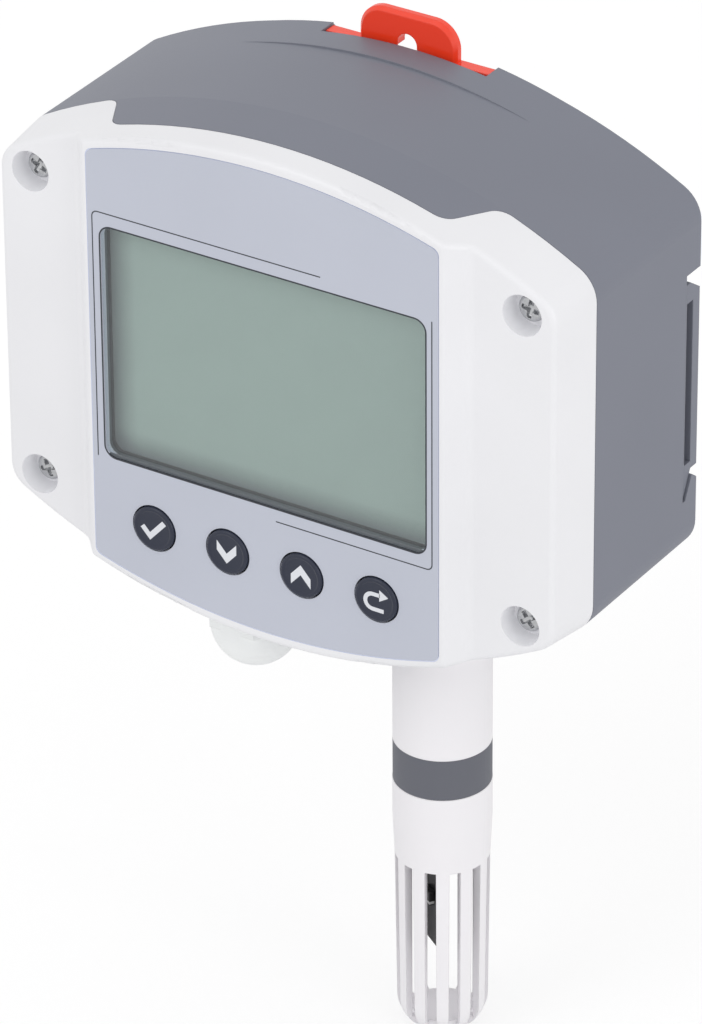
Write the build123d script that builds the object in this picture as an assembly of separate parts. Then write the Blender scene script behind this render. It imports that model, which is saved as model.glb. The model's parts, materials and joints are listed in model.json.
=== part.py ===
from build123d import *
from math import atan, cos, degrees, pi, radians, sin, sqrt
import os

# Wall-mounted temperature and humidity sensor with a display and a hanging probe.
# Millimetres. X runs to the right, Y towards the wall and Z up. The origin is the centre of the
# face that lies on the wall, so the front of the case has a negative Y.

# Case
case_width = 105.0
case_height = 89.5
case_depth = 46.0
arch_rise = 14.42           # how far the top and bottom edges bow out over the width
corner_radius = 6.0
wall = 2.2
parting_depth = 13.5        # from the front face back to the joint between cover and housing
draft_inset = 1.6           # how much smaller the outline is at the front face than at the joint
rear_edge = 0.6             # chamfer round the back
seam_gap = 0.12
fit_gap = 0.15              # between parts that are pushed together by hand
touch_gap = 0.05            # between a screw or pin and its hole's wall
cut_over = 1.0              # how far a cutting shape runs past the face that it opens

# Cover: raised panel between two lower wings
panel_side = 19.3           # from the case's side to the raised panel's edge
panel_raise = 3.24
ramp_run = 3.0
ramp_foot_round = 2.2
panel_edge_round = 1.0
front_edge_round = 1.0
skirt_wall = 1.2            # inner skirt that enters the housing
skirt_reach = 1.0           # past the joint
raised_wall_share = 0.25    # of the wall: how far the hollow stays inside the raised panel's edge

# Joint seen from above: the housing reaches forward over the middle
seam_front_depth = 4.7
seam_front_inside = 2.55    # of its forward stretch's ends from the panel's edges
seam_back_outside = 2.2     # of its swing's back ends from the panel's edges
seam_blend = 3.5

# Cover screws and their columns
screw_side_edge = 7.1       # from the case's side to a screw's axis
screw_end_edge = 17.25      # from the height of the case's top or bottom to a screw's axis
column_radius = 5.0
screw_recess_radius = 3.5
screw_recess_depth = 4.2
screw_radius = 1.5
screw_head_radius = 2.9
screw_head_height = 1.9
screw_head_edge = 0.7       # chamfer round the head
screw_length = 16.0
insert_radius = 2.3
insert_length = 6.0

# Gasket between the skirt and a ledge in the housing
gasket_height = 1.5
ledge_height = 1.4

# Printed front film and the window
film_thickness = 0.3
film_side_margin = 0.8      # from the panel's edge to the film's
film_margin = 3.45          # from the film's top or bottom to the case's
film_bow = 5.0              # how far its top and bottom edges bow out
film_corner = 1.5
window_side_margin = 2.33   # from the film's side to the window
window_top_margin = 21.25   # from the top of the case to the window
window_end_margin = 26.9    # from the window to the bottom of the case
window_corner = 2.0
lens_thickness = 1.4
lens_overlap = 1.2

# Display stack
bezel_thickness = 0.9
bezel_margin = 2.0
glass_thickness = 2.2
glass_margin = 1.6
backlight_thickness = 3.8
backlight_margin = 0.2
pin_pitch = 2.54
pin_margin = 5.0            # from the window's side to the last pin, at least
pin_width = 0.5

# Main circuit board
board_side_margin = 19.0    # from the case's side to the board's
board_margin = 11.75        # from the board's top or bottom to the case's
board_thickness = 1.6
board_corner = 2.0
post_radius = 2.8
post_edge = 3.2             # from the board's edge to a post's axis
board_screw_radius = 1.1
board_screw_length = 6.0
board_screw_head_radius = 2.1
board_screw_head_height = 1.3

# Buttons
button_pitch = 14.0
button_edge = 16.1          # from a button's axis to the bottom of the case
button_radius = 4.0
button_dome = 0.45
button_flat = 2.2           # radius of the flat middle of a button's face
button_brow = 3.4           # radius where the face turns down to its edge
button_brow_share = 0.6     # of the dome's height, left at that radius
button_travel = 0.5
button_flange_radius = 4.8
button_flange_thickness = 0.8
stem_radius = 1.6
switch_side = 6.0
switch_height = 3.4
plunger_radius = 1.7
plunger_length = 2.0
button_names = ("ok", "down", "up", "back")

# Pieces on the back of the main board
chip_side = 12.0
chip_thickness = 1.4
capacitor_radius = 4.0
capacitor_length = 11.0
capacitor_edge = 0.5
terminal_pitch = 5.08
terminal_ways = 4
terminal_depth = 10.0
terminal_height = 8.4
terminal_screw_radius = 1.7
terminal_screw_depth = 1.6
wire_entry = 3.0
socket_width = 10.0
socket_height = 6.0
socket_depth = 5.0

# Rail channel across the back of the housing
channel_depth = 4.8
channel_top = 19.0
hook_floor = 21.8           # below the middle of the case
hook_gap = 0.8              # width of the hook groove at its floor
lip_top = 17.8
lip_back = 19.3
lip_reach = 2.05            # how far in front of the wall the lip's top edge stands
pocket_depth = 4.0
pocket_border = 3.0
pocket_rib = 1.5
upper_pockets = 3           # on each side of the clip
lower_pockets = 9
pad_start = 9.8             # from the wall: where the crescent pad on the top face starts
pad_width = 54.0
pad_height = 0.33

# Rail clip and its guide
clip_width = 30.4
clip_thickness = 2.2
clip_setback = 0.9          # from the wall to the clip's rear face
clip_shoulder_drop = 1.25   # from the top of the case down to the clip's shoulders
clip_stand = 5.45           # how far the pull tab stands above the case
tab_width = 18.1
tab_corner = 4.5
tab_edge = 0.6
hook_width = 18.0
hook_reach = 5.6            # of the clip's end below the channel's upper edge
finger_drop = 7.5           # from the shoulders down to the root of the fingers
finger_lift = 5.0           # from the channel's upper edge up to the fingers' ends
finger_slot = 1.4
finger_width = 3.3
keyhole_radius = 3.6
keyhole_drop = 3.45         # from the top of the case down to the keyhole's axis
keyhole_neck_radius = 1.8
keyhole_neck_rise = 3.6     # from that axis up to the narrow end's
notch_depth = 4.3
notch_drop = 7.75           # from the top of the case down to the notch's floor
keeper_width = 2.8
keeper_lift = 2.0           # from the channel's upper edge up to the keepers
keeper_drop = 8.5           # from the clip's shoulders down to them

# Wall plate, shaped like a rail so that the case hooks on to it
plate_side_gap = 0.4
plate_top = 16.9
plate_back_top = 15.0
plate_slope = 2.8
plate_bottom = 16.9
plate_lip = 1.2
plate_gap = 0.2
plate_end_wall = 22.0       # half width of the solid middle
plate_slot_front = 3.9
plate_slot_back = 2.0
plate_slot_top = 13.5
plate_slot_bottom = -15.6
tongue_end = 21.4
tongue_gap = 0.28
wall_screw_spacing = 34.0
wall_screw_radius = 2.2
wall_screw_head_radius = 4.2
wall_screw_sink = 2.0

# Probe and gland: both hang from flat bosses in the underside of the housing
drop_share = 0.233          # of the room that the nuts have in Y: how far back both axes stand in it
probe_x = 18.0
gland_x = -18.0
boss_proud = 0.5
probe_boss_radius = 9.8
gland_boss_radius = 9.0

# Probe
probe_radius = 8.15
probe_wall = 1.75
probe_flange_radius = 9.5
probe_flange_thickness = 2.0
probe_stub_radius = 6.5
probe_stub_wall = 1.8
probe_stub_past_nut = 1.0
probe_seal_thickness = 0.5
probe_nut_flats = 16.5
probe_nut_height = 4.0
barrel_length = 22.23       # from the flange's seat down to the ring
ring_height = 7.45
spigot_radius = 6.9
spigot_wall = 1.0
spigot_length = 15.8        # from the top of the ring down into the cap
cap_radius = 8.2
cap_neck = 7.0              # straight length below the ring
cap_slot_radius = 7.87
cap_end_radius = 7.55
cap_end_round = 6.25
cap_length = 48.4           # below the ring
cap_bore_radius = 6.2
cap_floor = 3.2
cap_slots = 12
cap_slot_width = 1.9
cap_slot_length = 33.9      # from the cap's end up
cap_slot_inner_radius = 5.0
cap_first_slot = 17.0       # degrees from the front towards the right
holder_drop = 6.35          # from the top of the ring down to the holder
holder_height = 7.0
sensor_board_width = 8.4
sensor_board_thickness = 1.2
sensor_board_drop = 4.35    # from the top of the ring down to the board
sensor_board_length = 35.0
sensor_board_turn = -35.0   # degrees about the probe's axis
sensor_board_offset = 1.4   # in front of the probe's axis
sensor_chip_side = 2.5
sensor_chip_thickness = 0.9
sensor_chip_lift = 9.0      # from the board's lower end up to the chip's middle
lead_radius = 1.2
lead_bend_share = 0.95      # of the lead's last run, taken up by its bend

# Cable gland
gland_thread_radius = 6.2
gland_bore_radius = 4.7
gland_flange_flats = 15.6
gland_flange_height = 4.0
gland_washer_thickness = 0.8
gland_locknut_flats = 15.0
gland_locknut_height = 3.5
gland_stub_past_nut = 1.0
gland_lower_radius = 5.9
gland_lower_length = 10.6
gland_nut_radius = 7.6
gland_nut_grip = 6.0
gland_nut_flats = 14.8
gland_nut_straight = 6.95   # from the nut's top down to the centre of its dome
gland_nut_gap = 0.4
gland_nut_hole = 3.4
gland_nut_floor = 2.6
seal_radius = 4.6
seal_bore_radius = 2.5
seal_length = 9.0

# Places worked out from the sizes above
half_width = case_width / 2
half_height = case_height / 2
panel_width = case_width - 2 * panel_side
seam_front_width = panel_width - 2 * seam_front_inside
seam_back_width = panel_width + 2 * seam_back_outside
film_width = panel_width - 2 * film_side_margin
window_width = film_width - 2 * window_side_margin
pin_count = int((window_width - 2 * pin_margin) / pin_pitch) + 1
board_width = case_width - 2 * board_side_margin
screw_spread = case_width - 2 * screw_side_edge
screw_rise = case_height - 2 * screw_end_edge
film_height = case_height - 2 * film_margin
film_side_height = film_height - 2 * film_bow
window_top = half_height - window_top_margin
window_bottom = window_end_margin - half_height
button_height = button_edge - half_height
board_height = case_height - 2 * board_margin
arch_radius = (half_width ** 2 + arch_rise ** 2) / (2 * arch_rise)
front_y = -case_depth
wing_y = front_y + panel_raise
parting_y = front_y + parting_depth
skirt_end_y = parting_y + skirt_reach
gasket_end_y = skirt_end_y + gasket_height
inner_rear_y = -(channel_depth + wall)
skirt_inset = wall + fit_gap
inner_inset = skirt_inset + skirt_wall
panel_back_y = front_y + film_thickness + wall
bezel_back_y = panel_back_y + bezel_thickness
glass_back_y = bezel_back_y + glass_thickness
board_y = glass_back_y + backlight_thickness
board_back_y = board_y + board_thickness
draft_angle = degrees(atan(draft_inset / parting_depth))
clip_shoulder = half_height - clip_shoulder_drop
clip_top = half_height + clip_stand
hook_end = channel_top - hook_reach
finger_root = clip_shoulder - finger_drop
finger_end = channel_top + finger_lift
keyhole_centre = half_height - keyhole_drop
keyhole_neck_centre = keyhole_centre + keyhole_neck_rise
notch_bottom = half_height - notch_drop
keeper_bottom = channel_top + keeper_lift
keeper_top = clip_shoulder - keeper_drop
clip_rear_y = -clip_setback
clip_front_y = clip_rear_y - clip_thickness
guide_floor_y = clip_front_y - fit_gap
plate_front_y = -(channel_depth - plate_gap)
drop_front_y = gasket_end_y + probe_stub_radius + fit_gap
drop_rear_y = inner_rear_y - probe_nut_flats / 2 - fit_gap
drop_y = drop_front_y + drop_share * (drop_rear_y - drop_front_y)
post_x = board_width / 2 - post_edge
post_z = board_height / 2 - post_edge
switch_front_y = board_y - switch_height
recess_floor_y = wing_y + screw_recess_depth
corners = [(sx, sz) for sx in (-1, 1) for sz in (-1, 1)]


def arch(x, inset=0.0):
    """Height of the case's arched edge above its middle at a given X."""
    radius = arch_radius - inset
    return half_height - arch_radius + sqrt(radius ** 2 - x ** 2)


def outline(inset=0.0):
    """Case outline in X and Z: straight sides, arched top and bottom, round corners."""
    half = half_width - inset
    side = arch(half, inset)
    apex = half_height - inset
    top = ThreePointArc((-half, side), (0, apex), (half, side))
    right = Line((half, side), (half, -side))
    bottom = ThreePointArc((half, -side), (0, -apex), (-half, -side))
    left = Line((-half, -side), (-half, side))
    face = make_face([top, right, bottom, left])
    return fillet(face.vertices(), max(corner_radius - inset, corner_radius / 4))


def facing(y):
    """Sketch plane seen from the front at a given Y: its own axes are X and Z."""
    return Plane(origin=(0, y, 0), x_dir=(1, 0, 0), z_dir=(0, -1, 0))


def prism(sketch, y_from, y_to):
    """A sketch drawn in X and Z, made solid from one Y back to another."""
    return extrude(facing(y_to) * sketch, y_to - y_from)


def rod(x, z, radius, y_from, y_to):
    """Round bar or hole along Y."""
    return prism(Pos(x, z) * Circle(radius), y_from, y_to)


def drop(x, radius, z_from, z_to):
    """Round bar or hole along Z on one of the two hanging axes."""
    return Pos(x, drop_y, z_from) * extrude(Circle(radius), z_to - z_from)


def bored(shape, x, radius, z_from, z_to):
    """A shape with a round hole along one of the hanging axes, right through it."""
    return shape - drop(x, radius, z_from - cut_over, z_to + cut_over)


def hexagon(x, flats, z_from, z_to):
    """Six-sided bar along Z on one of the two hanging axes."""
    sketch = RegularPolygon(flats / 2, 6, major_radius=False)
    return Pos(x, drop_y, z_from) * extrude(sketch, z_to - z_from)


def across(points):
    """A section drawn in Y and Z, made solid over the whole width of the case."""
    section = Plane.YZ * make_face(Polyline(*points, close=True))
    return extrude(section, half_width + cut_over, both=True)


def block(x, z, width, height, y_from, y_to):
    """Upright block centred at X and Z."""
    return prism(Pos(x, z) * Rectangle(width, height), y_from, y_to)


def turned(x, points):
    """Solid of revolution about one of the hanging axes, from radius and height points."""
    profile = Plane.XZ * make_face(Polyline(*points, close=True))
    return Pos(x, drop_y, 0) * revolve(profile, Axis.Z)


# Shapes that the cover and the housing share


def case_body():
    """The whole closed case: drafted in front of the joint, straight behind it."""
    front = extrude(facing(parting_y) * outline(), parting_depth, taper=draft_angle)
    rear = prism(outline(), parting_y, 0)
    rear = chamfer(rear.faces().sort_by(Axis.Y)[-1].edges(), rear_edge)
    return front, rear


def seam_region(shift):
    """Everything in front of the joint, whose line swings forward over the middle."""
    far = half_width + cut_over
    back = parting_y + shift
    ahead = front_y + seam_front_depth + shift
    line = FilletPolyline(
        (-far, back),
        (-seam_back_width / 2, back),
        (-seam_front_width / 2, ahead),
        (seam_front_width / 2, ahead),
        (seam_back_width / 2, back),
        (far, back),
        radius=seam_blend,
    )
    limit = front_y - cut_over
    closing = Polyline((far, back), (far, limit), (-far, limit), (-far, back))
    return extrude(make_face([line, closing]), case_height, both=True)


def front_relief():
    """Everything behind the cover's front faces: raised panel, ramps and wings."""
    far = half_width + cut_over
    top = panel_width / 2
    foot = top + ramp_run
    line = FilletPolyline(
        (-far, wing_y),
        (-foot, wing_y),
        (-top, front_y),
        (top, front_y),
        (foot, wing_y),
        (far, wing_y),
        radius=[ramp_foot_round, panel_edge_round, panel_edge_round, ramp_foot_round],
    )
    closing = Polyline((far, wing_y), (far, 0), (-far, 0), (-far, wing_y))
    return extrude(make_face([line, closing]), case_height, both=True)


def film_outline(grow=0.0):
    """Outline of the printed film: straight sides, arched top and bottom."""
    half = film_width / 2 + grow
    side = film_side_height / 2 + grow
    apex = film_height / 2 + grow
    top = ThreePointArc((-half, side), (0, apex), (half, side))
    right = Line((half, side), (half, -side))
    bottom = ThreePointArc((half, -side), (0, -apex), (-half, -side))
    left = Line((-half, -side), (-half, side))
    face = make_face([top, right, bottom, left])
    return fillet(face.vertices(), film_corner)


def window(grow=0.0):
    """The display window, or the same shape with a margin."""
    middle = (window_top + window_bottom) / 2
    height = window_top - window_bottom + 2 * grow
    return Pos(0, middle) * RectangleRounded(window_width + 2 * grow, height, window_corner)


def button_place(index):
    """X of a button, counted from the left."""
    return (index - (len(button_names) - 1) / 2) * button_pitch


# Case parts


def front_cover():
    """White cover with its raised panel, screw wells, inner skirt and board posts."""
    front, rear = case_body()
    skin = front & front_relief() & seam_region(0)
    foot = panel_width / 2 + ramp_run
    rim = [
        edge
        for edge in skin.edges()
        if edge.center().Y < wing_y + touch_gap
        and (abs(edge.center().X) > foot + ramp_run or abs(edge.center().Z) > film_side_height / 2)
    ]
    skin = fillet(rim, front_edge_round)
    inner_y = wing_y + wall
    skirt = prism(outline(skirt_inset), wing_y + wall / 2, skirt_end_y)
    body = skin + skirt
    body -= prism(outline(inner_inset), inner_y, skirt_end_y + cut_over)
    raised = Rectangle(panel_width - 2 * raised_wall_share * wall, case_height)
    body -= prism(outline(inner_inset) & raised, panel_back_y, inner_y + cut_over)
    room = prism(outline(skirt_inset), front_y, skirt_end_y)
    columns = [
        rod(sx * screw_spread / 2, sz * screw_rise / 2, column_radius, wing_y + wall / 2, skirt_end_y)
        for sx, sz in corners
    ]
    posts = [
        rod(sx * post_x, sz * post_z, post_radius, panel_back_y - wall / 2, board_y)
        for sx, sz in corners
    ]
    body += (Part() + columns) & room
    body += posts
    for sx, sz in corners:
        x, z = sx * screw_spread / 2, sz * screw_rise / 2
        body -= rod(x, z, screw_recess_radius, wing_y - cut_over, recess_floor_y)
        body -= rod(x, z, screw_radius + fit_gap, recess_floor_y - cut_over, skirt_end_y + cut_over)
        pilot_y = board_y - board_screw_length
        body -= rod(sx * post_x, sz * post_z, board_screw_radius + touch_gap, pilot_y, board_y + cut_over)
    film_floor_y = front_y + film_thickness
    body -= prism(film_outline(fit_gap), front_y - cut_over, film_floor_y)
    body -= prism(window(lens_overlap + touch_gap), front_y, film_floor_y + lens_thickness)
    body -= prism(window(), front_y, panel_back_y + cut_over)
    hole = button_radius + fit_gap
    for index in range(len(button_names)):
        body -= rod(button_place(index), button_height, hole, front_y, panel_back_y + cut_over)
    return body


def channel_section():
    """Section of the rail channel, in Y and Z, with the hook groove behind its lower lip."""
    return [
        (cut_over, channel_top),
        (-channel_depth, channel_top),
        (-channel_depth, -hook_floor),
        (-channel_depth + hook_gap, -hook_floor),
        (-lip_reach, -lip_top),
        (0, -lip_back),
        (cut_over, -lip_back),
    ]


def pocket_row(x_from, x_to, count, z_from, z_to):
    """A row of weight-saving pockets in the back, with ribs between them."""
    pitch = (x_to - x_from + pocket_rib) / count
    middle = (z_from + z_to) / 2
    return [
        block(x_from + (i + 0.5) * pitch - pocket_rib / 2, middle, pitch - pocket_rib,
              z_to - z_from, -pocket_depth, cut_over)
        for i in range(count)
    ]


def rear_housing():
    """Grey housing: rail channel, clip guide, ribbed back, screw columns and bottom bosses."""
    front, rear = case_body()
    body = (front + rear) - seam_region(seam_gap)
    pad_edge = pad_width / 2
    pad_end = arch(pad_edge)
    crown = ThreePointArc((-pad_edge, pad_end), (0, half_height + pad_height), (pad_edge, pad_end))
    under = Polyline((pad_edge, pad_end), (0, pad_end), (-pad_edge, pad_end))
    body += prism(make_face([crown, under]), -pad_start, -rear_edge)
    body -= prism(outline(wall), front_y, inner_rear_y)
    ledge = outline(wall / 2) - outline(inner_inset)
    body += prism(ledge, gasket_end_y, gasket_end_y + ledge_height)
    columns = [
        rod(sx * screw_spread / 2, sz * screw_rise / 2, column_radius, skirt_end_y + touch_gap, inner_rear_y)
        for sx, sz in corners
    ]
    room = prism(outline(wall / 2), skirt_end_y, inner_rear_y)
    gasket_way = outline(wall) - outline(inner_inset + fit_gap)
    bosses = boss(probe_x, probe_boss_radius) + boss(gland_x, gland_boss_radius)
    body += ((Part() + columns) & room) + bosses
    body -= prism(gasket_way, skirt_end_y, gasket_end_y)
    for sx, sz in corners:
        x, z = sx * screw_spread / 2, sz * screw_rise / 2
        body -= rod(x, z, insert_radius + touch_gap, skirt_end_y, skirt_end_y + touch_gap + insert_length)
        body -= rod(x, z, screw_radius + fit_gap, skirt_end_y, recess_floor_y + screw_length + cut_over)
    body -= across(channel_section())
    half_clip = clip_width / 2 + fit_gap
    guide_height = clip_top - channel_top + cut_over
    body -= block(0, channel_top + guide_height / 2, 2 * half_clip, guide_height, guide_floor_y, cut_over)
    notch_height = clip_top - notch_bottom
    body -= block(0, notch_bottom + notch_height / 2, 2 * half_clip, notch_height, -notch_depth, cut_over)
    keeper_height = keeper_top - keeper_bottom
    for side in (-1, 1):
        keeper_x = side * (half_clip - keeper_width / 2 + wall / 2)
        body += block(keeper_x, keeper_bottom + keeper_height / 2, keeper_width + wall,
                      keeper_height, clip_rear_y + fit_gap, 0)
    back_room = prism(outline(pocket_border), -pocket_depth, cut_over)
    low = channel_top + pocket_border
    start = half_clip + pocket_border
    edge = half_width - pocket_border
    pockets = pocket_row(start, edge, upper_pockets, low, half_height)
    pockets += pocket_row(-edge, -start, upper_pockets, low, half_height)
    pockets += pocket_row(-edge, edge, lower_pockets, -half_height, -hook_floor - pocket_border)
    body -= (Part() + pockets) & back_room
    body -= drop(probe_x, probe_stub_radius + fit_gap, -case_height, 0)
    body -= drop(gland_x, gland_thread_radius + fit_gap, -case_height, 0)
    return body


def boss_bottom(x, radius):
    """Height of the flat outer face of a boss in the arched underside."""
    return -(arch(abs(x) - radius) + boss_proud)


def boss_top(x, radius):
    """Height of the flat inner face of the same boss."""
    return boss_proud - arch(abs(x) + radius, wall)


def boss(x, radius):
    """Thick round boss with a flat face inside and outside."""
    return drop(x, radius, boss_bottom(x, radius), boss_top(x, radius))


def cover_gasket():
    """Rubber ring between the cover's skirt and the housing's ledge."""
    return prism(outline(skirt_inset) - outline(inner_inset), skirt_end_y, gasket_end_y)


def cover_screws():
    """Four pan-head screws, sunk in the wells of the wings."""
    head_y = recess_floor_y - screw_head_height
    screws = []
    for sx, sz in corners:
        x, z = sx * screw_spread / 2, sz * screw_rise / 2
        head = rod(x, z, screw_head_radius, head_y, recess_floor_y)
        front_edge = head.edges().sort_by(Axis.Y)[0]
        head = chamfer(front_edge, screw_head_edge)
        screws.append(head + rod(x, z, screw_radius, recess_floor_y, recess_floor_y + screw_length))
    return Part() + screws


def screw_inserts():
    """Brass inserts in the housing's four columns."""
    y = skirt_end_y + touch_gap
    return Part() + [
        rod(sx * screw_spread / 2, sz * screw_rise / 2, insert_radius, y, y + insert_length)
        - rod(sx * screw_spread / 2, sz * screw_rise / 2, screw_radius + touch_gap, y, y + insert_length)
        for sx, sz in corners
    ]


# Front film, window and display


def front_label():
    """Printed film with the window and the button holes cut out."""
    film = film_outline() - window()
    for index in range(len(button_names)):
        film -= Pos(button_place(index), button_height) * Circle(button_radius + fit_gap)
    return prism(film, front_y, front_y + film_thickness)


def window_lens():
    """Clear pane in its seat under the film."""
    y = front_y + film_thickness
    return prism(window(lens_overlap), y, y + lens_thickness)


def lcd_bezel():
    """Dark frame between the cover and the display glass."""
    return prism(window(bezel_margin) - window(), panel_back_y, bezel_back_y)


def lcd_glass():
    """The display's glass sandwich."""
    return prism(window(glass_margin), bezel_back_y, glass_back_y)


def backlight():
    """Light guide between the glass and the board."""
    return prism(window(backlight_margin), glass_back_y, board_y)


def lcd_pins():
    """Two rows of pins that join the glass to the board."""
    offset = (glass_margin + backlight_margin) / 2
    pins = []
    for z in (window_top + offset, window_bottom - offset):
        for index in range(pin_count):
            x = (index - (pin_count - 1) / 2) * pin_pitch
            pins.append(block(x, z, pin_width, pin_width, glass_back_y, board_y))
    return Part() + pins


# Main board and what is on it


def main_board():
    """Circuit board that carries the display, the switches and the terminals."""
    sheet = RectangleRounded(board_width, board_height, board_corner)
    for sx, sz in corners:
        sheet -= Pos(sx * post_x, sz * post_z) * Circle(board_screw_radius + fit_gap)
    return prism(sheet, board_y, board_back_y)


def board_screws():
    """Four small screws that hold the board to the cover's posts."""
    return Part() + [
        rod(sx * post_x, sz * post_z, board_screw_head_radius, board_back_y,
            board_back_y + board_screw_head_height)
        + rod(sx * post_x, sz * post_z, board_screw_radius,
              board_back_y - board_screw_length, board_back_y)
        for sx, sz in corners
    ]


def tact_switches():
    """Four switches on the board, each with a well for its plunger."""
    return Part() + [
        block(button_place(i), button_height, switch_side, switch_side, switch_front_y, board_y)
        - rod(button_place(i), button_height, plunger_radius + fit_gap, switch_front_y,
              board_y - board_thickness / 2)
        for i in range(len(button_names))
    ]


def button_stem_end():
    """Y of the end of a button's stem, where the plunger starts."""
    return switch_front_y - button_travel - fit_gap


def button(index):
    """Domed round key with a stop flange behind the panel and a stem."""
    x = button_place(index)
    flange_y = panel_back_y + touch_gap
    stem_end = button_stem_end()
    profile = [
        (0, front_y - button_dome),
        (button_flat, front_y - button_dome),
        (button_brow, front_y - button_brow_share * button_dome),
        (button_radius, front_y),
        (button_radius, flange_y),
        (button_flange_radius, flange_y),
        (button_flange_radius, flange_y + button_flange_thickness),
        (stem_radius, flange_y + button_flange_thickness),
        (stem_radius, stem_end),
        (0, stem_end),
    ]
    key = revolve(make_face(Polyline(*profile, close=True)), Axis.Y)
    return Pos(x, 0, button_height) * key


def plunger(index):
    """Plunger of a switch, pushed by the button's stem."""
    y = button_stem_end()
    return rod(button_place(index), button_height, plunger_radius, y, y + plunger_length)


def control_chip():
    """Controller on the back of the board."""
    side = RectangleRounded(chip_side, chip_side, chip_thickness / 4)
    return prism(Pos(-board_width / 8, board_height / 6) * side, board_back_y, board_back_y + chip_thickness)


def filter_capacitor():
    """Supply capacitor standing on the back of the board."""
    end_y = board_back_y + capacitor_length
    can = rod(board_width / 4, board_height / 6, capacitor_radius, board_back_y, end_y)
    return chamfer(can.edges().sort_by(Axis.Y)[-1], capacitor_edge)


def terminal_x(way):
    """X of one way of the terminal block, above the gland."""
    return gland_x + (way - (terminal_ways - 1) / 2) * terminal_pitch


def terminal_z():
    """Height of the terminal block's middle, just above the lower board screws."""
    return -post_z + board_screw_head_radius + fit_gap + terminal_height / 2


def terminal_block():
    """Terminal block with wire entries from below and screw wells at the back."""
    z = terminal_z()
    back = board_back_y + terminal_depth
    body = block(gland_x, z, terminal_ways * terminal_pitch, terminal_height, board_back_y, back)
    for way in range(terminal_ways):
        x = terminal_x(way)
        body -= rod(x, z, terminal_screw_radius + touch_gap, back - terminal_screw_depth, back + cut_over)
        entry_y = board_back_y + terminal_depth / 3
        body -= block(x, z - terminal_height / 4, wire_entry, terminal_height / 2,
                      entry_y, entry_y + wire_entry)
    return body


def terminal_screws():
    """Clamping screws of the terminal block."""
    back = board_back_y + terminal_depth
    return Part() + [
        rod(terminal_x(way), terminal_z(), terminal_screw_radius, back - terminal_screw_depth, back)
        for way in range(terminal_ways)
    ]


def socket_z():
    """Height of the probe lead's socket on the board."""
    return -board_height / 3


def sensor_socket():
    """Socket for the probe's lead."""
    return block(probe_x, socket_z(), socket_width, socket_height, board_back_y, board_back_y + socket_depth)


# Probe


def probe_seat():
    """Height of the probe flange's upper face."""
    return boss_bottom(probe_x, probe_boss_radius) - probe_seal_thickness


def ring_top():
    """Height of the upper edge of the dark ring."""
    return probe_seat() - barrel_length


def cap_bottom():
    """Height of the cap's lower end, the lowest point of the sensor."""
    return ring_top() - ring_height - cap_length


def sensor_board_top():
    """Height of the sensor board's upper end."""
    return ring_top() - sensor_board_drop


def probe_tube():
    """White tube: stub through the boss, seated flange, barrel and lower spigot."""
    seat = probe_seat()
    ring = ring_top()
    stub_top = boss_top(probe_x, probe_boss_radius) + probe_nut_height + probe_stub_past_nut
    shoulder = seat - probe_flange_thickness
    barrel_bore = probe_radius - probe_wall
    stub_bore = probe_stub_radius - probe_stub_wall
    spigot_bore = spigot_radius - spigot_wall
    spigot_end = ring - spigot_length
    return turned(probe_x, [
        (stub_bore, stub_top),
        (probe_stub_radius, stub_top),
        (probe_stub_radius, seat),
        (probe_flange_radius, seat),
        (probe_flange_radius, shoulder),
        (probe_radius, shoulder),
        (probe_radius, ring),
        (spigot_radius, ring),
        (spigot_radius, spigot_end),
        (spigot_bore, spigot_end),
        (spigot_bore, ring + probe_wall),
        (barrel_bore, ring + probe_wall),
        (barrel_bore, shoulder),
        (stub_bore, shoulder),
    ])


def probe_seal():
    """Flat seal between the boss and the tube's flange."""
    seat = boss_bottom(probe_x, probe_boss_radius)
    low = seat - probe_seal_thickness
    disc = drop(probe_x, probe_flange_radius, low, seat)
    return bored(disc, probe_x, probe_stub_radius + fit_gap, low, seat)


def probe_nut():
    """Nut inside the case that clamps the tube to the boss."""
    seat = boss_top(probe_x, probe_boss_radius)
    top = seat + probe_nut_height
    nut = hexagon(probe_x, probe_nut_flats, seat, top)
    return bored(nut, probe_x, probe_stub_radius + touch_gap, seat, top)


def probe_ring():
    """Dark ring between the tube and the cap."""
    high = ring_top()
    low = high - ring_height
    collar = drop(probe_x, probe_radius, low, high)
    return bored(collar, probe_x, spigot_radius + touch_gap, low, high)


def probe_cap():
    """Slotted cap: a tapered shell whose slots run over its rounded end and leave a cage of ribs."""
    top = ring_top() - ring_height - touch_gap
    neck = top - cap_neck
    bottom = cap_bottom()
    slot_top = bottom + cap_slot_length
    spigot_end = ring_top() - spigot_length - fit_gap
    bore_floor = bottom + cap_floor
    round_start = bottom + cap_end_round
    flat = cap_end_radius - cap_end_round
    middle = (flat + cap_end_round * sin(pi / 4), round_start - cap_end_round * cos(pi / 4))
    upper_bore = spigot_radius + touch_gap
    side = Polyline(
        (0, bore_floor),
        (cap_bore_radius, bore_floor),
        (cap_bore_radius, spigot_end),
        (upper_bore, spigot_end),
        (upper_bore, top),
        (cap_radius, top),
        (cap_radius, neck),
        (cap_slot_radius, slot_top),
        (cap_end_radius, round_start),
    )
    end = ThreePointArc((cap_end_radius, round_start), middle, (flat, bottom))
    base = Polyline((flat, bottom), (0, bottom), (0, bore_floor))
    shell = revolve(Plane.XZ * make_face([side, end, base]), Axis.Z)
    length = cap_slot_length + cut_over
    reach = cap_radius + cut_over - cap_slot_inner_radius
    slot_z = slot_top - length / 2
    slot = Pos(0, -cap_slot_inner_radius - reach / 2, slot_z) * Box(cap_slot_width, reach, length)
    turns = [cap_first_slot + index * 360 / cap_slots for index in range(cap_slots)]
    shell -= [Rot(0, 0, turn) * slot for turn in turns]
    return Pos(probe_x, drop_y, 0) * shell


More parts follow.
